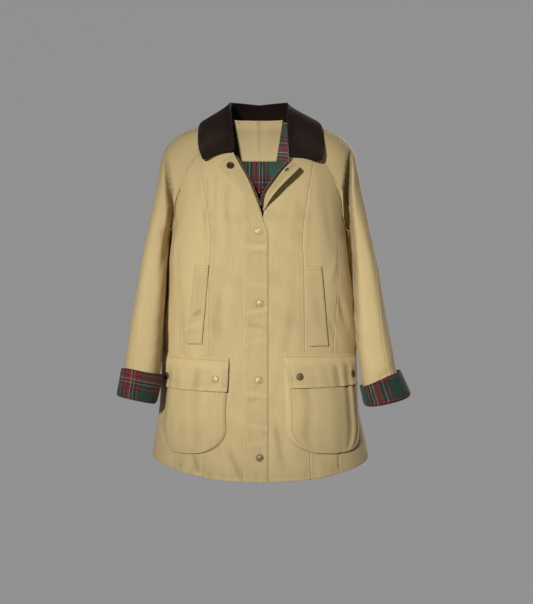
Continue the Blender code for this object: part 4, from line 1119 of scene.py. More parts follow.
def pocket_place(side, across, level):
    """Bellows pocket; across runs from -1 to 1, level is 0 at its bottom edge, 1 at the top of the rounding
    and 2 at its mouth."""
    row = POCKETS[side]
    turn = math.pi / 2.0 * np.clip(level, 0.0, 1.0)
    half = 1.0 - 0.62 * (1.0 - np.sin(turn))
    height = row.bottom + 0.058 * (1.0 - np.cos(turn)) + 0.004 * across ** 2 * np.cos(turn)
    height = mix(height, row.top, np.clip(level - 1.0, 0.0, 1.0))
    angle = pocket_angle(side, 0.5 + across * half / 2.0)
    middle = np.abs(girth(pocket_angle(side, 0.5)) - girth(pocket_angle(side, 1.0)))
    from_side = (1.0 - np.abs(across)) * middle * np.maximum(half, 0.3)
    inside = np.minimum(from_side, 0.16 * np.clip(level, 0.0, 1.0) ** 1.5 + np.maximum(level - 1.0, 0.0))
    rise = np.sqrt(ease(inside / 0.0065))
    stitched = -0.0004 * bump(inside - 0.0090, 0.0008) + 0.0003 * bump(inside - 0.0065, 0.002)
    run = girth(angle)
    soft = 0.0
    for place, width, depth in POCKET_CREASES[side]:
        drape = bump(across - place - 0.06 * np.sin(height * 30.0), width)
        soft = soft + depth * drape * ease(level * 1.2)
    sag = 0.0022 * bump(across, 0.7) * bump(height + 0.60, 0.06)
    loose = (stitched + soft * SIZES.folds + sag) * ease(inside / 0.012)
    lifted = mix(POCKET_EDGE, POCKET_DEEP, rise) + loose
    return skin(angle, height, lifted + 0.0002 * np.sin(run * 500.0) * (1.0 - rise))


def flap_place(side, u, v):
    """Pocket flap; v is 1 at its sewn top edge and 0 at its lower edge."""
    u, v = spread(u, v)
    drop = 1.0 - v
    row = FLAPS[side]
    droop = 0.0012 * (1.0 - (2.0 * u - 1.0) ** 2)
    height = mix(row.top_in, row.top_out, u) - (mix(row.drop_in, row.drop_out, u) + droop) * drop
    angle = pocket_angle(side, mix(-FLAP_OVER + row.slant * drop, 1.0 + FLAP_OVER, u))
    width = np.abs(girth(pocket_angle(side, 1.0)) - girth(pocket_angle(side, 0.0))) * (1.0 + 2.0 * FLAP_OVER)
    from_edge = np.minimum(np.minimum(u, 1.0 - u) * width, drop * 9.0 + v * FLAP_DROP)
    soft = 0.0
    for ripple in FLAP_RIPPLES[side]:
        wave = bump(u - ripple.place - ripple.lean * drop, ripple.width)
        soft = soft + ripple.depth * wave * ease(drop * 1.6)
    snapped = 0.0
    for snap in FLAP_SNAPS:
        if snap.side == side:
            near = np.hypot(girth(angle) - girth(front_angle(SIGN[side] * snap.across, snap.height)),
                            height - snap.height)
            snapped = snapped + bump(near, 0.011)
    edge = sewn(from_edge, girth(angle) + height) - 0.0004 * bump(drop * FLAP_DROP - 0.0065, 0.0008)
    edge = edge - 0.0006 * bump(drop * FLAP_DROP, 0.0012)
    curl = 0.0016 * ease((drop - 0.75) / 0.25) * (0.4 + 0.6 * np.abs(2.0 * u - 1.0))
    ends = mix(0.62, 1.0, ease(np.minimum(u, 1.0 - u) * width / 0.014))
    body_lift = FLAP_FACE + POCKET_DEEP * ease(drop / 0.30) * ends + curl
    return skin(angle, height, body_lift + edge + soft * SIZES.folds - 0.0007 * snapped)


def welt_place(side, u, v):
    """Slanted welt of a hand-warmer pocket."""
    row = WELTS[side]
    height = mix(row.bottom, row.top, v)
    across = mix(mix(row.bottom_in, row.top_in, v), mix(row.bottom_out, row.top_out, v), u)
    sides = np.minimum(u * WELT_WIDTH, (1.0 - u) * WELT_WIDTH)
    ends = np.minimum(v, 1.0 - v) * WELT_LENGTH
    edge = single(np.minimum(sides, ends), height) - 0.0004 * bump(ends - 0.0080, 0.0008)
    bow = 0.0006 * np.sin(v * 7.0 + u * 2.0)
    spring = (0.0012 if side == "left" else 0.0004) * ease((u - 0.5) / 0.5) * np.sin(math.pi * v)
    return skin(front_angle(SIGN[side] * across, height), height, WELT_FACE + edge + bow + spring)


def patch_place(u, v):
    """Plain patch inside the back neck."""
    height = mix(PATCH_LOW, PATCH_HIGH, v)
    half = mix(PATCH_NARROW, PATCH_WIDE, v)
    above = 0.5 * (height - 0.0150 + np.hypot(height - 0.0150, 0.0060))
    height = height - above
    angle = math.pi - front_angle(mix(-half, half, u) - 0.002, height)
    tucks = sum(bump(u - place, 0.010) for place in (0.10, 0.32, 0.47, 0.60, 0.80))
    edge = single(np.minimum(np.minimum(u, 1.0 - u) * half * 2.0, v * 0.086))
    depth = edge - 0.0007 * tucks * ease((v - 0.80) / 0.20)
    out = -LINING_DEPTH - 0.0010 - 0.0038 - depth
    placed = body_point(angle, height) + body_normal(angle, height) * np.asarray(out)[..., None]
    return placed + xyz(0.0 * above, -0.70 * above, above)


# ---- making pieces
def local_height(points, reach=4):
    """How far each point of a grid stands above the cloth around it, along the cloth's normal."""
    padded = np.pad(points, ((reach, reach), (reach, reach), (0, 0)), mode="edge")
    rows, columns = points.shape[:2]
    steps = range(0, 2 * reach + 1, 2)
    around = sum(padded[down:down + rows, right:right + columns] for down in steps for right in steps)
    across, along = np.gradient(points, axis=1), np.gradient(points, axis=0)
    return ((points - around / len(steps) ** 2) * unit(np.cross(across, along))).sum(axis=-1)


FROM_HEM = ("twill_back", "plaid_lining_back")      # widest along their hem
SLOTS = {"twill": "khaki_twill", "patch": "khaki_twill", "cord": "brown_corduroy", "tape": "zip_tape"}


def show(name, data):
    """A new object in the scene."""
    made = bpy.data.objects.new(name, data)
    bpy.context.scene.collection.objects.link(made)
    return made


def cloth_grid(name, columns, rows, place, dress, flip, closed):
    """A piece laid on place(u, v) and mapped in metres along the cloth; also its width, length and area."""
    u, v = np.meshgrid(np.asarray(columns, float), np.asarray(rows, float))
    points = place(u, v)
    count = points.shape[1]
    across = np.linalg.norm(np.diff(points, axis=1), axis=-1)
    along = np.linalg.norm(np.diff(points, axis=0), axis=-1)
    side = np.concatenate([np.zeros((len(rows), 1)), np.cumsum(across, axis=1)], axis=1)
    side -= side[:, count // 2][:, None]
    up = np.concatenate([np.zeros((1, count)), np.cumsum(along, axis=0)], axis=0)
    up = mix(up, up[:, count // 2][:, None], 0.5)
    height = local_height(points) * (-1.0 if flip else 1.0)
    index = np.arange(points.shape[0] * count).reshape(points.shape[:2])
    corners = [index[:-1, :-1], index[:-1, 1:], index[1:, 1:], index[1:, :-1]]
    if flip:
        corners.reverse()
    faces = np.stack(corners, axis=-1).reshape(-1, 4)
    mesh = bpy.data.meshes.new(name)
    mesh.from_pydata(points.reshape(-1, 3).tolist(), [], faces.tolist())
    places = np.stack([side, up], axis=-1).reshape(-1, 2)[faces.ravel()]
    mesh.uv_layers.new(name="cloth").data.foreach_set("uv", places.ravel().astype(np.float32))
    # crest: height above the cloth around, the mask for painted highlight on raised places and painted shade
    # in hollows
    crest = mesh.attributes.new("crest", "FLOAT", "POINT")
    crest.data.foreach_set("value", np.clip(height.ravel() / 0.0005, -1.0, 1.0).astype(np.float32))
    mesh.shade_smooth()
    if closed:
        weld(mesh)
    mesh.materials.append(dress)
    widths = across.sum(axis=1)
    width = widths[0] if name in FROM_HEM else widths.max()
    low = np.cross(points[:-1, 1:] - points[:-1, :-1], points[1:, :-1] - points[:-1, :-1])
    high = np.cross(points[1:, :-1] - points[1:, 1:], points[:-1, 1:] - points[1:, 1:])
    area = (np.linalg.norm(low, axis=-1) + np.linalg.norm(high, axis=-1)).sum() / 2.0
    return show(name, mesh), float(width), float(along.sum(axis=0).max()), float(area)


def weld(mesh):
    """Joins a mesh to itself where its edges meet."""
    work = bmesh.new()
    work.from_mesh(mesh)
    bmesh.ops.remove_doubles(work, verts=work.verts, dist=0.00004)
    work.to_mesh(mesh)
    work.free()


def finish_piece(piece, slot, *nodes):
    """A piece rides on the jacket's one body and stands for its nodes."""
    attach(piece, "root")
    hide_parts(*nodes)


def sew(name, node, columns, rows, place, dress, thickness, flip=False, closed=False):
    piece, width, length, area = cloth_grid(name, columns, rows, place, look(dress), flip, closed)
    wall = piece.modifiers.new("Cloth thickness", "SOLIDIFY")
    wall.thickness, wall.offset, wall.use_even_offset = thickness, -1.0, False
    finish_piece(piece, SLOTS.get(dress, "plaid_cotton"), node)
    area = min(max(area, 0.3 * width * length), width * length)


def even(count):
    """Shares from 0 to 1 in even steps."""
    return np.linspace(0.0, 1.0, count + 1)


# ---- materials
class Wiring:
    """A material's nodes."""

    def __init__(self, name):
        self.material = bpy.data.materials.new(name)
        self.material.use_nodes = True
        self.tree = self.material.node_tree
        self.shader = self.tree.nodes["Principled BSDF"]

    def add(self, kind, inputs=None, **settings):
        """A node with its settings, values and links."""
        node = self.tree.nodes.new(kind)
        for key, value in settings.items():
            setattr(node, key, value)
        for key, value in (inputs or {}).items():
            if isinstance(value, bpy.types.NodeSocket):
                self.tree.links.new(value, node.inputs[key])
            else:
                node.inputs[key].default_value = value
        return node

    def sum(self, operation, first, second=0.0, third=0.0):
        """Result of a sum."""
        return self.add("ShaderNodeMath", {0: first, 1: second, 2: third}, operation=operation).outputs[0]

    def blend(self, share, first, second):
        """Blend of two colours."""
        node = self.add("ShaderNodeMix", {0: share}, data_type="RGBA")
        for number, value in ((6, first), (7, second)):
            if isinstance(value, bpy.types.NodeSocket):
                self.tree.links.new(value, node.inputs[number])
            else:
                node.inputs[number].default_value = (*value, 1.0)
        return node.outputs[2]

    def noise(self, coordinates, scale, detail=2.0, stretch=(1.0, 1.0, 1.0), rough=0.5):
        """Noise between 0 and 1."""
        mapped = self.add("ShaderNodeMapping", {"Vector": coordinates, "Scale": stretch}).outputs[0]
        node = self.add("ShaderNodeTexNoise", {"Vector": mapped, "Scale": scale, "Detail": detail,
                                               "Roughness": rough})
        return node.outputs["Fac"]

    def range(self, value, low, high, to_low, to_high):
        """A value moved from one range to another."""
        return self.add("ShaderNodeMapRange", {0: value, 1: low, 2: high, 3: to_low, 4: to_high}).outputs[0]

    def set(self, **values):
        """Sets the shader's own sockets or links them."""
        for key, value in values.items():
            socket = self.shader.inputs[key.replace("_", " ")]
            if isinstance(value, bpy.types.NodeSocket):
                self.tree.links.new(value, socket)
            else:
                socket.default_value = value

    def tint(self, base, colour, by, *reach):
        """A colour laid over another by a value: from where to where, and how strongly at each end."""
        return self.blend(self.range(by, *reach), base, colour)

    def ribs(self, value, pitch):
        """Wave between -1 and 1 along a value."""
        return self.sum("SINE", self.sum("MULTIPLY", value, 2.0 * math.pi / pitch))

    def crest(self):
        """How high the cloth stands above its surroundings; the materials paint highlight and shade from it.
        """
        return self.add("ShaderNodeAttribute", attribute_name="crest").outputs["Fac"]

    def place(self):
        """Place on the piece."""
        return self.add("ShaderNodeTexCoord").outputs["Object"]

    def relief(self, height, distance, strength):
        """Bump from a height."""
        node = self.add("ShaderNodeBump", {"Height": height, "Distance": distance, "Strength": strength})
        self.tree.links.new(node.outputs[0], self.shader.inputs["Normal"])


def shade(colour, share):
    """A colour made darker or lighter."""
    return tuple(min(part * share, 1.0) for part in colour)


def cloth_map(wiring):
    """The piece's own map, in metres along the cloth, and its two directions."""
    mapped = wiring.add("ShaderNodeUVMap", uv_map="cloth").outputs[0]
    parts = wiring.add("ShaderNodeSeparateXYZ", {0: mapped})
    return mapped, parts.outputs[0], parts.outputs[1]


def twill_weave(wiring, across, along, pitch):
    """Diagonal ribs of a twill, 0 between them and 1 on top, and the yarns that cross them."""
    diagonal = wiring.sum("ADD", across, along)
    rib = wiring.ribs(diagonal, pitch)
    yarn = wiring.ribs(across, pitch * 0.62)
    return wiring.sum("MULTIPLY_ADD", wiring.sum("MULTIPLY_ADD", yarn, 0.25, rib), 0.4, 0.5)


def twill_look(name, colour):
    """Brushed cotton twill: diagonal ribs with painted shade in the grooves between them, slubs along the
    warp, soft mottling, raised sewn edges painted lighter (rubbed wear and painted highlight) and hollows
    painted darker (painted shade).
    """
    wiring = Wiring(name)
    mapped, across, along = cloth_map(wiring)
    weave = twill_weave(wiring, across, along, 0.0011)
    slub = wiring.noise(mapped, 1.0, 2.0, (720.0, 26.0, 1.0))
    weft = wiring.noise(mapped, 1.0, 1.0, (40.0, 900.0, 1.0))
    mottle = wiring.noise(mapped, 14.0, 3.0)
    fleck = wiring.noise(mapped, 900.0, 1.0)
    base = tuple(colour)
    dark = shade(base, 0.80)
    light = shade(base, 1.13)
    cloth = wiring.tint(dark, light, slub, 0.30, 0.70, 0.0, 1.0)
    cloth = wiring.blend(0.55, cloth, base)
    cloth = wiring.tint(cloth, dark, weft, 0.35, 0.75, 0.0, 0.16)
    cloth = wiring.tint(cloth, dark, mottle, 0.30, 0.72, 0.0, 0.30)
    # painted shade: the cloth is darkened in the grooves between the twill's ribs
    cloth = wiring.tint(cloth, shade(base, 0.62), weave, 0.1, 0.9, 0.18, 0.0)
    # painted light from the cloth's height: lighter where it stands above the cloth around (rubbed wear and
    # painted highlight), darker in creases and seam hollows (painted shade)
    crest = wiring.crest()
    cloth = wiring.tint(cloth, shade(base, 1.30), crest, 0.05, 0.9, 0.0, 0.28)
    cloth = wiring.tint(cloth, shade(base, 0.45), crest, -0.05, -0.9, 0.0, 0.42)
    wiring.set(Base_Color=cloth, Roughness=wiring.range(fleck, 0.2, 0.8, 0.80, 0.95))
    wiring.set(Sheen_Weight=0.12, Sheen_Roughness=0.5, Specular_IOR_Level=0.22)
    height = wiring.sum("MULTIPLY_ADD", weave, 0.55, wiring.sum("MULTIPLY_ADD", slub, 0.9, fleck))
    wiring.relief(height, 0.00010, 0.55)
    return wiring.material


def sett_ramp(wiring, place, colours):
    """Colour of the plaid's stripes at a place within its repeat."""
    node = wiring.add("ShaderNodeValToRGB", {0: place})
    ramp = node.color_ramp
    ramp.interpolation = "CONSTANT"
    start = 0.0
    for number, stripe in enumerate(SETT):
        element = ramp.elements[number] if number < 2 else ramp.elements.new(start)
        element.position = start
        element.color = (*colours[stripe.colour], 1.0)
        start += stripe.share
    return node.outputs[0]


def plaid_look(name, shift):
    """Woven plaid: stripes of warp and weft crossing in a fine twill, with painted shade in its hollows."""
    wiring = Wiring(name)
    colours = {"green": COLOURS.green, "red": COLOURS.red, "cream": COLOURS.cream, **PLAID_FIXED}
    mapped = wiring.add("ShaderNodeUVMap", uv_map="cloth").outputs[0]
    placed = wiring.add("ShaderNodeMapping", {"Vector": mapped, "Location": (*shift, 0.0)}).outputs[0]
    fuzz = wiring.noise(mapped, 700.0, 2.0)
    parts = wiring.add("ShaderNodeSeparateXYZ", {0: placed})
    threads = []
    for output in (parts.outputs[0], parts.outputs[1]):
        soft = wiring.sum("MULTIPLY_ADD", wiring.sum("SUBTRACT", fuzz, 0.5), 0.0006, output)
        place = wiring.sum("WRAP", wiring.sum("DIVIDE", soft, SIZES.repeat), 1.0, 0.0)
        threads.append(sett_ramp(wiring, place, colours))
    diagonal = wiring.sum("ADD", parts.outputs[0], parts.outputs[1])
    wave = wiring.ribs(diagonal, 0.0016)
    over = wiring.range(wave, -0.35, 0.35, 0.0, 1.0)
    woven = wiring.blend(over, threads[0], threads[1])
    mottle = wiring.noise(mapped, 30.0, 3.0)
    woven = wiring.tint(woven, (0.012, 0.012, 0.012), mottle, 0.35, 0.75, 0.0, 0.30)
    woven = wiring.tint(woven, (0.30, 0.26, 0.22), fuzz, 0.50, 0.80, 0.0, 0.16)
    # painted shade: the plaid is darkened where the cloth lies lower than the cloth around, in creases and
    # seam hollows
    crest = wiring.crest()
    woven = wiring.tint(woven, (0.004, 0.004, 0.004), crest, -0.05, -0.9, 0.0, 0.5)
    wiring.set(Base_Color=woven, Roughness=0.92, Specular_IOR_Level=0.15)
    wiring.set(Sheen_Weight=0.10, Sheen_Roughness=0.6)
    wiring.relief(wiring.sum("MULTIPLY_ADD", over, 0.6, fuzz), 0.00012, 0.6)
    return wiring.material


def corduroy_look():
    """Fine corduroy: ribs from the fold to the edge with painted shade in the grooves between them and a
    painted highlight on their tops, a worn, lighter nap, and lighter where the cloth stands high (worn nap
    and painted highlight).
    """
    wiring = Wiring("Brown corduroy")
    mapped, across, _ = cloth_map(wiring)
    wander = wiring.sum("MULTIPLY_ADD", wiring.noise(mapped, 60.0, 2.0), 0.0010, across)
    rib = wiring.sum("ABSOLUTE", wiring.sum("SINE", wiring.sum("MULTIPLY", wander, math.pi / SIZES.wale)))
    nap = wiring.noise(mapped, 1.0, 3.0, (300.0, 1100.0, 1.0), 0.65)
    mottle = wiring.noise(mapped, 38.0, 4.0, rough=0.6)
    base = tuple(COLOURS.cord)
    # painted shade and highlight: the ribs are painted darker in the grooves and a little lighter on top
    pile = wiring.tint(shade(base, 0.45), shade(base, 1.10), rib, 0.15, 0.75, 0.0, 1.0)
    pile = wiring.tint(pile, (0.060, 0.038, 0.031), nap, 0.40, 0.75, 0.0, 0.55)
    pile = wiring.tint(pile, shade(base, 0.60), mottle, 0.35, 0.70, 0.0, 0.45)
    # lighter where the cloth stands above the cloth around: worn nap and painted highlight
    crest = wiring.crest()
    pile = wiring.tint(pile, (0.070, 0.046, 0.038), crest, 0.1, 1.0, 0.0, 0.35)
    wiring.set(Base_Color=pile, Roughness=0.96, Specular_IOR_Level=0.10)
    wiring.set(Sheen_Weight=0.05, Sheen_Roughness=0.35, Sheen_Tint=(0.42, 0.30, 0.27, 1.0))
    wiring.relief(wiring.sum("MULTIPLY_ADD", nap, 0.45, rib), 0.00035, 0.8)
    return wiring.material


def thread_look():
    """Twisted sewing thread."""
    wiring = Wiring("Sewing thread")
    place = wiring.place()
    uneven = wiring.noise(place, 260.0, 2.0)
    base = tuple(COLOURS.thread)
    thread = wiring.tint(shade(base, 0.72), shade(base, 1.12), uneven, 0.3, 0.7, 0.0, 1.0)
    wiring.set(Base_Color=thread, Roughness=0.7)
    wiring.relief(wiring.noise(place, 4200.0, 1.0), 0.00008, 0.6)
    return wiring.material


def metal_look(name, colour, tarnish, roughness):
    """Antique metal: tarnish in cloudy patches, brighter where it is rubbed, fine scratches."""
    wiring = Wiring(name)
    place = wiring.place()
    cloud = wiring.noise(place, 340.0, 4.0, rough=0.65)
    speck = wiring.noise(place, 2200.0, 2.0)
    bright = tuple(colour)
    dull = shade(bright, tarnish)
    metal = wiring.tint(bright, dull, cloud, 0.36, 0.64, 0.0, 1.0)
    metal = wiring.tint(metal, shade(dull, 0.4), speck, 0.55, 0.75, 0.0, 0.5)
    wiring.set(Base_Color=metal, Metallic=0.85)
    wiring.set(Roughness=wiring.range(cloud, 0.3, 0.7, roughness, roughness + 0.22))
    wiring.relief(speck, 0.00006, 0.5)
    return wiring.material


def tape_look():
    """Woven zip tape with a herringbone run, painted darker in the weave's grooves and lighter on its ribs
    (painted shade and highlight).
    """
    wiring = Wiring("Zip tape weave")
    _, across, along = cloth_map(wiring)
    bent = wiring.sum("ABSOLUTE", across)
    weave = wiring.ribs(wiring.sum("ADD", bent, along), 0.0009)
    base = tuple(COLOURS.tape)
    # painted shade and highlight: darker in the herringbone's grooves, lighter on its ribs
    cloth = wiring.tint(shade(base, 0.55), shade(base, 1.25), weave, -0.6, 0.6, 0.0, 1.0)
    wiring.set(Base_Color=cloth, Roughness=0.85)
    wiring.relief(weave, 0.00012, 0.7)
    return wiring.material


def paper_look(name, colour):
    """Matt studio paper, faintly uneven."""
    wiring = Wiring(name)
    place = wiring.place()
    cloud = wiring.noise(place, 0.8, 2.0)
    grain = wiring.noise(place, 240.0, 2.0)
    tone = wiring.tint(colour, shade(colour, 0.9), cloud, 0.3, 0.7, 0.0, 0.04)
    tone = wiring.tint(tone, shade(colour, 0.85), grain, 0.3, 0.7, 0.0, 0.03)
    wiring.set(Base_Color=tone, Roughness=0.95, Specular_IOR_Level=0.05)
    return wiring.material


# Name and place on the plaid's repeat of each plaid piece; name, share of the brass colour, tarnish and
# roughness of each metal.
PLAIDS = {"lining_back": ("Plaid back lining", (0.0544, 0.0288)),
          "lining_right": ("Plaid right front lining", (0.011, 0.020)),
          "lining_left": ("Plaid left front lining", (0.030, 0.012)),
          "cuff_right": ("Plaid right cuff", (0.0283, 0.081)),
          "cuff_left": ("Plaid left cuff", (-0.019, -0.0315))}
METALS = {"brass": ("Antique brass caps", 1.0, 0.72, 0.46), "dark": ("Dark brass", 0.20, 0.45, 0.44),
          "aged": ("Aged brass caps", 0.50, 0.60, 0.46)}
LOOKS = {}


def new_look(name):
    """A material by its short name."""
    if name in PLAIDS:
        return plaid_look(*PLAIDS[name])
    if name in METALS:
        label, share, tarnish, roughness = METALS[name]
        return metal_look(label, shade(COLOURS.brass, share), tarnish, roughness)
    if name == "steel":
        return metal_look("Stud metal", (0.22, 0.22, 0.21), 0.6, 0.48)
    if name == "patch":
        return twill_look("Khaki patch", shade(COLOURS.twill, 0.97))
    if name == "twill":
        return twill_look("Khaki twill", COLOURS.twill)
    return {"cord": corduroy_look, "thread": thread_look, "tape": tape_look}[name]()


def look(name):
    """A material, made on its first use."""
    if name not in LOOKS:
        LOOKS[name] = new_look(name)
    return LOOKS[name]


# ---- repeated small things
def repeat_tree(name, shape_kind):
    """Geometry nodes that set one small shape along lines, turned to follow them."""
    tree = bpy.data.node_groups.new(name, "GeometryNodeTree")
    face = tree.interface
    face.new_socket("Geometry", in_out="INPUT", socket_type="NodeSocketGeometry")
    for label, default in (("Pitch", 0.0034), ("Length", 0.0026), ("Width", 0.0005), ("Height", 0.0005)):
        socket = face.new_socket(label, in_out="INPUT", socket_type="NodeSocketFloat")
        socket.default_value = default
    face.new_socket("Material", in_out="INPUT", socket_type="NodeSocketMaterial")
    face.new_socket("Geometry", in_out="OUTPUT", socket_type="NodeSocketGeometry")
    nodes, link = tree.nodes, tree.links.new
    start, end = nodes.new("NodeGroupInput"), nodes.new("NodeGroupOutput")
    lines = nodes.new("GeometryNodeMeshToCurve")
    spaced = nodes.new("GeometryNodeResampleCurve")
    spaced.mode = "LENGTH"
    link(start.outputs["Geometry"], lines.inputs["Mesh"])
    link(lines.outputs[0], spaced.inputs["Curve"])
    link(start.outputs["Pitch"], spaced.inputs["Length"])
    shape = nodes.new(shape_kind)
    if shape_kind == "GeometryNodeMeshIcoSphere":
        shape.inputs["Radius"].default_value = 0.5
        shape.inputs["Subdivisions"].default_value = 1
    size = nodes.new("ShaderNodeCombineXYZ")
    for label, axis in (("Length", "X"), ("Width", "Y"), ("Height", "Z")):
        link(start.outputs[label], size.inputs[axis])
    vary = nodes.new("FunctionNodeRandomValue")
    vary.data_type = "FLOAT"
    for socket, value in ((2, 0.90), (3, 1.08), ("Seed", 7)):
        vary.inputs[socket].default_value = value
    scaled = nodes.new("ShaderNodeVectorMath")
    scaled.operation = "SCALE"
    link(size.outputs[0], scaled.inputs[0])
    link(vary.outputs[1], scaled.inputs["Scale"])
    tangent = nodes.new("GeometryNodeInputTangent")
    turn = nodes.new("FunctionNodeAlignRotationToVector")
    turn.axis = "X"
    link(tangent.outputs[0], turn.inputs["Vector"])
    put = nodes.new("GeometryNodeInstanceOnPoints")
    link(spaced.outputs[0], put.inputs["Points"])
    link(shape.outputs["Mesh"], put.inputs["Instance"])
    link(turn.outputs[0], put.inputs["Rotation"])
    link(scaled.outputs[0], put.inputs["Scale"])
    real = nodes.new("GeometryNodeRealizeInstances")
    dress = nodes.new("GeometryNodeSetMaterial")
    link(put.outputs[0], real.inputs[0])
    link(real.outputs[0], dress.inputs["Geometry"])
    link(start.outputs["Material"], dress.inputs["Material"])
    link(dress.outputs[0], end.inputs[0])
    return tree


def repeat_along(name, lines, tree, sizes, dress):
    """A plain mesh of one small shape repeated along lines of points."""
    points, edges = [], []
    for line in lines:
        first = len(points)
        points += [tuple(point) for point in line]
        edges += [(first + i, first + i + 1) for i in range(len(line) - 1)]
    mesh = bpy.data.meshes.new(f"{name} lines")
    mesh.from_pydata(points, edges, [])
    carrier = show(f"{name} lines", mesh)
    modifier = carrier.modifiers.new("Repeat", "NODES")
    modifier.node_group = tree
    values = {**sizes, "Material": dress}
    for item in tree.interface.items_tree:
        if item.in_out == "INPUT" and item.name in values:
            modifier[item.identifier] = values[item.name]
    graph = bpy.context.evaluated_depsgraph_get()
    made = bpy.data.meshes.new_from_object(carrier.evaluated_get(graph), depsgraph=graph)
    made.name = name
    carrier.modifiers.remove(modifier)
    bpy.data.objects.remove(carrier)
    made.shade_smooth()
    return show(name, made)


def turned_cap(name, profile, place, outward, dress, steps=40):
    """A turned piece: a profile of (radius, height) pairs spun on its axis, at its place in its mesh."""
    work = bmesh.new()
    rings = []
    for radius, up in (np.array(profile) * TENTH).tolist():
        if radius < 0.00001:
            rings.append([work.verts.new((0.0, 0.0, up))])
            continue
        angles = [2.0 * math.pi * i / steps for i in range(steps)]
        rings.append([work.verts.new((radius * math.cos(a), radius * math.sin(a), up)) for a in angles])
    for low, high in zip(rings, rings[1:]):
        for i in range(steps):
            j = (i + 1) % steps
            if len(low) == 1 and len(high) > 1:
                work.faces.new((low[0], high[i], high[j]))
            elif len(high) == 1 and len(low) > 1:
                work.faces.new((low[j], low[i], high[0]))
            elif len(low) > 1:
                work.faces.new((low[i], high[i], high[j], low[j]))
    bmesh.ops.recalc_face_normals(work, faces=work.faces)
    turn = Vector(outward).to_track_quat("Z", "Y").to_matrix().to_4x4()
    turn.translation = Vector(place)
    bmesh.ops.transform(work, matrix=turn, verts=work.verts)
    mesh = bpy.data.meshes.new(name)
    work.to_mesh(mesh)
    work.free()
    mesh.shade_smooth()
    mesh.materials.append(dress)
    return show(name, mesh)


# ---- lines of stitches
EDGES = {"inner": (False, 0.0), "outer": (False, 1.0), "foot": (True, 0.0), "head": (True, 1.0)}
TRIM_STITCH, CORNER_STITCH, PATCH_STITCH = 0.0021, 0.0040, 0.0025
POCKET_STITCH = (0.885, 0.150)      # share across a pocket and level of its stitches


def inset(place, run, inside, edge):
    """Line a set distance inside an edge: the inner or outer (u 0 or 1), the foot or the head (v 0 or 1)."""
    level, start = EDGES[edge]
    sign, step = 1.0 - 2.0 * start, 0.01 if level else 0.05

    def at(share):
        share = share + np.zeros(run.shape)
        return place(run, share) if level else place(share, run)
    per_share = np.maximum(np.linalg.norm(at(start + sign * step) - at(start), axis=-1) / step, 0.004)
    return at(start + sign * np.minimum(inside / per_share, 0.5))


def body_lines():
    """Stitches of the body: twice along the princess, side and raglan seams, once along the hem."""
    lines = []
    run = np.linspace(0.006, 0.985, 220)
    for side in SIDES:
        centre, flank = partial(centre_place, side), partial(side_place, side)
        for row in STITCH_ROWS:
            lines.append(inset(centre, run, row, "inner"))
            lines.append(inset(flank, run * 0.96, row, "inner"))
        lines += [inset(place, np.linspace(0.02, 0.99, 60), HEM_STITCH, "foot") for place in (centre, flank)]
    lines.append(inset(back_place, np.linspace(0.005, 0.995, 220), HEM_STITCH, "foot"))
    for low, high in ((0.03, 0.415), (0.585, 0.97)):
        run = np.linspace(low, high, 120)
        lines += [inset(back_place, run, row / SEAM_LEAN, "head") for row in STITCH_ROWS]
    return lines


def sleeve_lines():
    """Stitches along the sleeves' long front seam and underarm seam."""
    lines = []
    run, low = np.linspace(0.02, 0.905, 200), np.linspace(UPPER_SLEEVE + 0.03, 0.905, 120)
    for side in SIDES:
        for from_seam in (0.0022, 0.0075):
            lines.append(sleeve_place(side, over_seam(run) + from_seam / SLEEVE_GIRTH, run))
        lines.append(sleeve_place(side, 0.0095, low))
    return lines


def trim_lines():
    """Stitches of the fly, turned-back corners, pockets, flaps, welts and neck patch."""
    lines = []

    def add(place, edge, inside, *run):
        lines.append(inset(place, np.linspace(*run), inside, edge))
    for edge, inside in (("inner", STITCH_ROWS[0]), ("inner", STITCH_ROWS[1]), ("outer", STITCH_ROWS[0])):
        add(fly_place, edge, inside, 0.004, 0.985, 180)
    add(fly_place, "foot", HEM_STITCH, 0.02, 0.98, 60)
    for side in SIDES:
        corner, flap, welt = (partial(place, side) for place in (lapel_place, flap_place, welt_place))
        add(corner, "outer", CORNER_STITCH, 0.12, 0.965, 60)
        add(corner, "head", CORNER_STITCH, 0.15, 0.88, 24)
        for row in STITCH_ROWS:
            for edge in ("inner", "outer"):
                add(flap, edge, row, row / FLAP_DROP, 0.88, 40)
            add(flap, "foot", row, row / 0.15, 1.0 - row / 0.15, 80)
        add(flap, "head", 0.0065, 0.01, 0.99, 80)
        for edge in ("inner", "outer"):
            add(welt, edge, TRIM_STITCH, 0.015, 0.985, 60)
        for edge in ("foot", "head"):
            for row in STITCH_ROWS:
                add(welt, edge, row, 0.08, 0.92, 20)
        across, level = POCKET_STITCH
        down, flat = np.linspace(1.97, level, 90), np.linspace(-0.89, 0.89, 60)
        lines += [pocket_place(side, share + np.zeros(down.shape), down) for share in (-across, across)]
        lines.append(pocket_place(side, flat, level + np.zeros(flat.shape)))
    for edge in ("inner", "outer"):
        add(patch_place, edge, PATCH_STITCH, 0.02, 0.98, 60)
    add(patch_place, "foot", PATCH_STITCH, 0.04, 0.96, 40)
    add(patch_place, "head", 0.0045, 0.04, 0.96, 40)
    return lines


# ---- the pieces, one operator each
class JACKET_OT_fronts(bpy.types.Operator):
    """Centre and side panels of both fronts, with their folds and sewn edges"""
    bl_idname = "jacket.fronts"
    bl_label = "Fronts"

    def execute(self, context):
        rows = shares(0.63, 0.0042, high=False)
        for side in SIDES:
            for part, place, columns in (("side", side_place, shares(0.075, 0.0045)),
                                         ("centre", centre_place, shares(0.11, 0.0045, high=False))):
                sew(f"twill_front_{side}_{part}", f"front_{side}_{part}", columns, rows, partial(place, side),
                    "twill", SIZES.shell, side == "left")
        return {"FINISHED"}


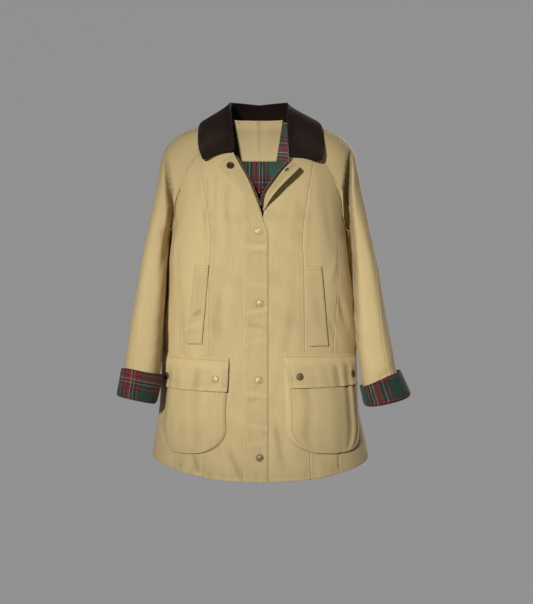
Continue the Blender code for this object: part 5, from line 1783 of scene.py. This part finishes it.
class JACKET_OT_back(bpy.types.Operator):
    """Back panel from side seam to side seam"""
    bl_idname = "jacket.back"
    bl_label = "Back"

    def execute(self, context):
        near = 1.0 - np.array(EDGE_STEPS) / 0.70
        rows = np.unique(np.concatenate([shares(0.70, 0.0055, high=False), near]))
        sew("twill_back", "back", shares(0.62, 0.0062), rows, back_place, "twill", SIZES.shell)
        return {"FINISHED"}


class JACKET_OT_sleeves(bpy.types.Operator):
    """Raglan sleeves with elbow and armhole folds"""
    bl_idname = "jacket.sleeves"
    bl_label = "Sleeves"

    def execute(self, context):
        seam = 0.36
        near = np.array((-0.0100, -0.0060, -0.0036, -0.0022, -0.0012, -0.0005, 0.0, 0.0005, 0.0012, 0.0022,
                         0.0036, 0.0055, 0.0075, 0.0100)) / SLEEVE_GIRTH
        columns = np.concatenate([shares(SLEEVE_GIRTH, 0.0036), np.arange(0.010, 0.066, 0.0014)])
        columns = columns[np.abs(columns - seam) > 0.046]
        columns = np.unique(np.concatenate([columns, seam + near]))

        def follow(u, v):
            pull = np.where(u < seam, u / seam, (1.0 - u) / (1.0 - seam))
            return u + (over_seam(v) - seam) * pull
        for side in SIDES:
            sew(f"twill_sleeve_{side}", f"sleeve_{side}", columns, even(185),
                lambda u, v, side=side: sleeve_place(side, follow(u, v), v), "twill", SIZES.shell,
                side == "left", closed=True)
        return {"FINISHED"}


class JACKET_OT_cuffs(bpy.types.Operator):
    """Turned-back cuffs that show the plaid lining"""
    bl_idname = "jacket.cuffs"
    bl_label = "Cuffs"

    def execute(self, context):
        for side in SIDES:
            sew(f"plaid_cuff_{side}", f"cuff_{side}", even(96), even(56), partial(cuff_place, side),
                f"cuff_{side}", SIZES.shell, side == "right", closed=True)
        return {"FINISHED"}


class JACKET_OT_collar(bpy.types.Operator):
    """Corduroy collar, stand and fall"""
    bl_idname = "jacket.collar"
    bl_label = "Collar"

    def execute(self, context):
        def place(u, v):
            right = collar_place("right", np.clip(u, 0.0, 0.5) * 6.0, v * 7.0)
            left = collar_place("left", np.clip(1.0 - u, 0.0, 0.5) * 6.0, v * 7.0)
            return np.where((u <= 0.5)[..., None], right, left)
        front = 0.5 * np.linspace(0.0, 1.0, 111) ** 1.15
        columns = np.concatenate([front, 1.0 - front[:-1][::-1]])
        sew("cord_collar", "collar", columns, even(84), place, "cord", SIZES.cord)
        return {"FINISHED"}


class JACKET_OT_fly(bpy.types.Operator):
    """Storm fly down the front"""
    bl_idname = "jacket.fly"
    bl_label = "Storm fly"

    def execute(self, context):
        sew("twill_fly", "fly", shares(0.049, 0.0030), shares(0.61, 0.0030, high=False), fly_place, "twill",
            0.0016)
        return {"FINISHED"}


class JACKET_OT_corners(bpy.types.Operator):
    """Turned-back top corners of the fronts"""
    bl_idname = "jacket.corners"
    bl_label = "Turned-back corners"

    def execute(self, context):
        for side in SIDES:
            sew(f"twill_corner_{side}", f"lapel_{side}", shares(0.040, 0.0016),
                shares(0.14, 0.0018, low=False), partial(lapel_place, side), "twill", 0.0012,
                side == "right")
        return {"FINISHED"}


class JACKET_OT_zip(bpy.types.Operator):
    """Zip tapes and their brass teeth along the open V"""
    bl_idname = "jacket.zip"
    bl_label = "Zip"

    def execute(self, context):
        tree = repeat_tree("Zip teeth", "GeometryNodeMeshCube")
        for side in SIDES:
            sew(f"zip_tape_{side}", f"zip_{side}", even(8), even(90), partial(zip_place, side), "tape",
                0.0007, True)
            run = np.linspace(0.02, 0.98, 60)
            line = zip_place(side, np.full_like(run, 0.88 if side == "right" else 0.90), run, 0.0004)
            teeth = repeat_along(f"zip_teeth_{side}", [line], tree,
                                 {"Pitch": SIZES.tooth, "Length": 0.0012, "Width": 0.0024, "Height": 0.0013},
                                 look("brass"))
            finish_piece(teeth, "antique_brass")
        return {"FINISHED"}


class JACKET_OT_pockets(bpy.types.Operator):
    """Bellows pockets, their flaps and the hand-warmer welts"""
    bl_idname = "jacket.pockets"
    bl_label = "Pockets"

    def execute(self, context):
        side_steps = np.array((0.0, 0.0006, 0.0015, 0.0028, 0.0042, 0.0056, 0.0068, 0.0078, 0.0086, 0.0094,
                               0.0104, 0.0130)) / 0.072
        middle = np.linspace(-1.0 + side_steps[-1], 1.0 - side_steps[-1], 46)
        columns = np.concatenate([-1.0 + side_steps[:-1], middle, 1.0 - side_steps[:-1][::-1]])
        low = np.array((0.0, 0.020, 0.045, 0.070, 0.090, 0.110, 0.127, 0.140, 0.150, 0.162, 0.180, 0.205))
        levels = np.concatenate([low, np.linspace(0.235, 1.0, 34), np.linspace(1.0, 2.0, 40)[1:]])
        parts = (("pocket", pocket_place, columns, levels, 0.0010),
                 ("flap", flap_place, shares(0.155, 0.0030), shares(0.066, 0.0022), 0.0015),
                 ("welt", welt_place, shares(WELT_WIDTH, 0.0022), shares(WELT_LENGTH, 0.0030), 0.0013))
        for side in SIDES:
            for part, place, across, along, thickness in parts:
                sew(f"twill_{part}_{side}", f"{part}_{side}", across, along, partial(place, side), "twill",
                    thickness, side == "right")
        return {"FINISHED"}


class JACKET_OT_lining(bpy.types.Operator):
    """Plaid lining of the fronts and back, and the plain neck patch on it"""
    bl_idname = "jacket.lining"
    bl_label = "Lining"

    def execute(self, context):
        sew("plaid_lining_back", "lining_back", even(150), even(130),
            lambda u, v: back_place(u, v, -LINING_DEPTH, LINING_HEM, False), "lining_back", SIZES.lining)
        for side in SIDES:
            sew(f"plaid_lining_front_{side}", f"lining_front_{side}", even(40), even(110),
                partial(front_lining_place, side), f"lining_{side}", SIZES.lining,
                side == "left")
        sew("twill_neck_patch", "neck_patch", shares(0.100, 0.0020), shares(0.073, 0.0020), patch_place,
            "patch", 0.0010)
        return {"FINISHED"}


# Profiles of the turned pieces, in tenths of a millimetre: radius and height.
CAP = ((0, 24), (16, 23.8), (34, 22), (48, 19), (56, 17), (60, 18.5), (66, 19), (71, 16), (74, 9), (73, 2),
       (66, -4), (0, -4))
SOCKET = ((0, 4), (16, 4), (18, 10), (24, 12), (28, 8), (30, 6), (46, 6), (52, 14), (60, 21), (68, 21),
          (75, 14), (77, 4), (74, -3), (0, -3))
STUD = ((0, 34), (12, 33), (18, 28), (19, 22), (15, 16), (18, 12), (40, 11), (46, 8), (47, 2), (44, -3),
        (0, -3))
TENTH = 0.0001


def seated(place, u, v):
    """Middle and outward direction of a place on a piece."""
    step = 0.004
    point, right, left, high, low = (place(np.array([u + to_u * step]), np.array([v + to_v * step]))[0]
                                     for to_u, to_v in ((0, 0), (1, 0), (-1, 0), (0, 1), (0, -1)))
    outward = np.cross(right - left, high - low)
    outward = outward / np.linalg.norm(outward)
    return point, outward if outward[1] < 0.0 else -outward


class JACKET_OT_snaps(bpy.types.Operator):
    """Snap caps down the fly and on the flaps, and the open socket and stud"""
    bl_idname = "jacket.snaps"
    bl_label = "Snaps"

    def execute(self, context):
        for number, height in enumerate(FLY_SNAPS, 1):
            hem = float(hem_height(np.array(0.0)))
            free = float(fly_edge(np.array(height)))
            across = float(body("shift", height))
            point, outward = seated(fly_place, (across - FLY_INNER) / (free - FLY_INNER),
                                    (height - hem) / (FLY_TOP - hem))
            metal = "aged" if number == 4 else "brass"
            cap = turned_cap(f"cap_fly_{number}", CAP, point, outward, look(metal))
            finish_piece(cap, "antique_brass", f"snap_fly_{number}")
        for number, row in enumerate(FLAP_SNAPS, 1):
            angle = abs(float(front_angle(SIGN[row.side] * row.across, row.height)))
            pocket, flap = POCKETS[row.side], FLAPS[row.side]
            inner = float(front_angle(pocket.inner_x, POCKET_LEVEL))
            share = (angle - inner) / (math.radians(pocket.outer_angle) - inner)
            share = (share + FLAP_OVER) / (1.0 + 2.0 * FLAP_OVER)
            down = ((mix(flap.top_in, flap.top_out, share) - row.height)
                    / (mix(flap.drop_in, flap.drop_out, share) + 0.001))
            point, outward = seated(partial(flap_place, row.side), share, 1.0 - down)
            metal = "brass" if number == 1 else "aged"
            cap = turned_cap(f"cap_flap_{number}", CAP, point, outward, look(metal))
            finish_piece(cap, "antique_brass", f"snap_flap_{number}")
        for name, side, u, v, profile, metal in (("snap_socket", "right", 0.52, 0.86, SOCKET, "dark"),
                                                 ("snap_stud", "left", 0.33, 0.80, STUD, "steel")):
            point, outward = seated(partial(lapel_place, side), u, v)
            finish_piece(turned_cap(f"open_{name}", profile, point, outward, look(metal)), "dark_brass", name)
        return {"FINISHED"}


class JACKET_OT_stitching(bpy.types.Operator):
    """Topstitching of the body, sleeves and trims"""
    bl_idname = "jacket.stitching"
    bl_label = "Topstitching"

    def execute(self, context):
        tree = repeat_tree("Stitches", "GeometryNodeMeshIcoSphere")
        sizes = {"Pitch": SIZES.stitch, "Length": SIZES.stitch * 0.80, "Width": SIZES.thread,
                 "Height": SIZES.thread}
        for name, lines in (("stitches_body", body_lines()), ("stitches_sleeves", sleeve_lines()),
                            ("stitches_trims", trim_lines())):
            finish_piece(repeat_along(name, lines, tree, sizes, look("thread")), "khaki_twill")
        return {"FINISHED"}


def add_lamp(name, kind, place, aim, power, warmth, only=(), but=(), **settings):
    """A lamp aimed at a place, that may shine on the named things only, or on all but those."""
    data = bpy.data.lights.new(name, kind)
    data.energy, data.color = power, warmth
    for key, value in settings.items():
        setattr(data, key, value)
    lamp = show(name, data)
    lamp.location = place
    lamp.rotation_euler = (Vector(aim) - Vector(place)).to_track_quat("-Z", "Y").to_euler()
    if only or but:
        chosen = bpy.data.collections.new(f"{name} light")
        for thing in (*only, *but):
            chosen.objects.link(bpy.data.objects[thing])
        lamp.light_linking.receiver_collection = chosen
        for member in chosen.collection_objects:
            member.light_linking.link_state = "INCLUDE" if only else "EXCLUDE"


def from_side(left, up):
    """A place so many degrees to the left of the front and above it."""
    turn, rise = math.radians(left), math.radians(up)
    return Vector((-math.sin(turn) * math.cos(rise), -math.cos(turn) * math.cos(rise), math.sin(rise))) * 3.0


class JACKET_OT_studio(bpy.types.Operator):
    """Plain floor and backdrop, soft lights and the camera"""
    bl_idname = "jacket.studio"
    bl_label = "Studio"

    def execute(self, context):
        scene = context.scene
        bend = [(-6.0, -4.9)] + [(5.0 + 1.5 * math.sin(a), -3.4 - 1.5 * math.cos(a))
                                 for a in np.linspace(0.0, math.pi / 2.0, 17)] + [(6.5, 7.0)]
        points = [(x, y, z) for y, z in bend for x in (-9.0, 9.0)]
        faces = [(2 * i, 2 * i + 1, 2 * i + 3, 2 * i + 2) for i in range(len(bend) - 1)]
        mesh = bpy.data.meshes.new("Paper sweep")
        mesh.from_pydata(points, [], faces)
        mesh.shade_smooth()
        mesh.materials.append(paper_look("Studio paper", (0.258, 0.260, 0.265)))
        sweep = show("Paper sweep", mesh)
        world = bpy.data.worlds.new("Studio")
        scene.world = world
        world.use_nodes = True
        background = world.node_tree.nodes["Background"]
        background.inputs["Color"].default_value = (1.0, 0.99, 0.97, 1.0)
        background.inputs["Strength"].default_value = 0.08
        middle, paper = (0.0, 0.0, 0.0), "Paper sweep"
        add_lamp("Key", "SPOT", (-1.952, -5.506, 1.193), (0.04, -0.06, -0.41), 1450.0, (1.0, 0.99, 0.975),
                 but=("twill_neck_patch", paper), spot_size=math.radians(12.0), spot_blend=1.0,
                 shadow_soft_size=0.21)
        add_lamp("Paper", "SUN", from_side(45.0, 14.0), middle, 4.45, (1.0, 0.99, 0.985), only=(paper,),
                 angle=math.radians(4.0))
        add_lamp("Fill", "SUN", from_side(-14.0, 1.0), middle, 0.11, (1.0, 0.99, 0.98),
                 angle=math.radians(30.0))
        add_lamp("Back", "AREA", (1.5, 2.6, 1.1), (0.0, 0.0, -0.36), 95.0, (1.0, 0.99, 0.98), but=(paper,),
                 shape="SQUARE", size=1.2)
        add_lamp("Neck", "SPOT", (-0.147, -2.4, -0.10), (-0.002, 0.085, -0.020), 240.0, (1.0, 1.0, 1.0),
                 only=("twill_neck_patch", "plaid_lining_back"), spot_size=math.radians(5.0), spot_blend=0.3,
                 shadow_soft_size=0.03)
        data = bpy.data.cameras.new("Camera")
        data.sensor_fit = "VERTICAL"
        data.angle = 2.0 * math.atan(604.0 / 474.0 / 2.0 / 2.2)
        camera = show("Camera", data)
        camera.location = (0.0158, -2.2, -0.369)
        camera.rotation_euler = (math.radians(90.0), 0.0, 0.0)
        scene.camera = camera
        scene.view_settings.view_transform = "Standard"
        return {"FINISHED"}


class JACKET_PT_pieces(bpy.types.Panel):
    """Lists the jacket's pieces, sizes and colours"""
    bl_idname = "JACKET_PT_pieces"
    bl_label = "Barn Jacket"
    bl_space_type = "VIEW_3D"
    bl_region_type = "UI"
    bl_category = "Barn Jacket"

    def draw(self, context):
        layout = self.layout
        for group in (context.scene.jacket_sizes, context.scene.jacket_colours):
            box = layout.box()
            for name in group.__annotations__:
                box.prop(group, name)
        for maker in MAKERS:
            layout.operator(maker.bl_idname)


MAKERS = (JACKET_OT_fronts, JACKET_OT_back, JACKET_OT_sleeves, JACKET_OT_cuffs, JACKET_OT_collar,
          JACKET_OT_fly, JACKET_OT_corners, JACKET_OT_zip, JACKET_OT_pockets, JACKET_OT_lining,
          JACKET_OT_snaps, JACKET_OT_stitching, JACKET_OT_studio)
CLASSES = (JacketSizes, JacketColours, *MAKERS, JACKET_PT_pieces)
SIZES = None
COLOURS = None


def register():
    """Adds the jacket's settings, operators and panel."""
    for kind in CLASSES:
        bpy.utils.register_class(kind)
    bpy.types.Scene.jacket_sizes = bpy.props.PointerProperty(type=JacketSizes)
    bpy.types.Scene.jacket_colours = bpy.props.PointerProperty(type=JacketColours)


def unregister():
    """Takes them away again."""
    del bpy.types.Scene.jacket_sizes
    del bpy.types.Scene.jacket_colours
    for kind in reversed(CLASSES):
        bpy.utils.unregister_class(kind)


def main():
    global SIZES, COLOURS
    register()
    SIZES, COLOURS = bpy.context.scene.jacket_sizes, bpy.context.scene.jacket_colours
    for maker in MAKERS:
        group, name = maker.bl_idname.split(".")
        getattr(getattr(bpy.ops, group), name)()


if __name__ == "__main__":
    main()
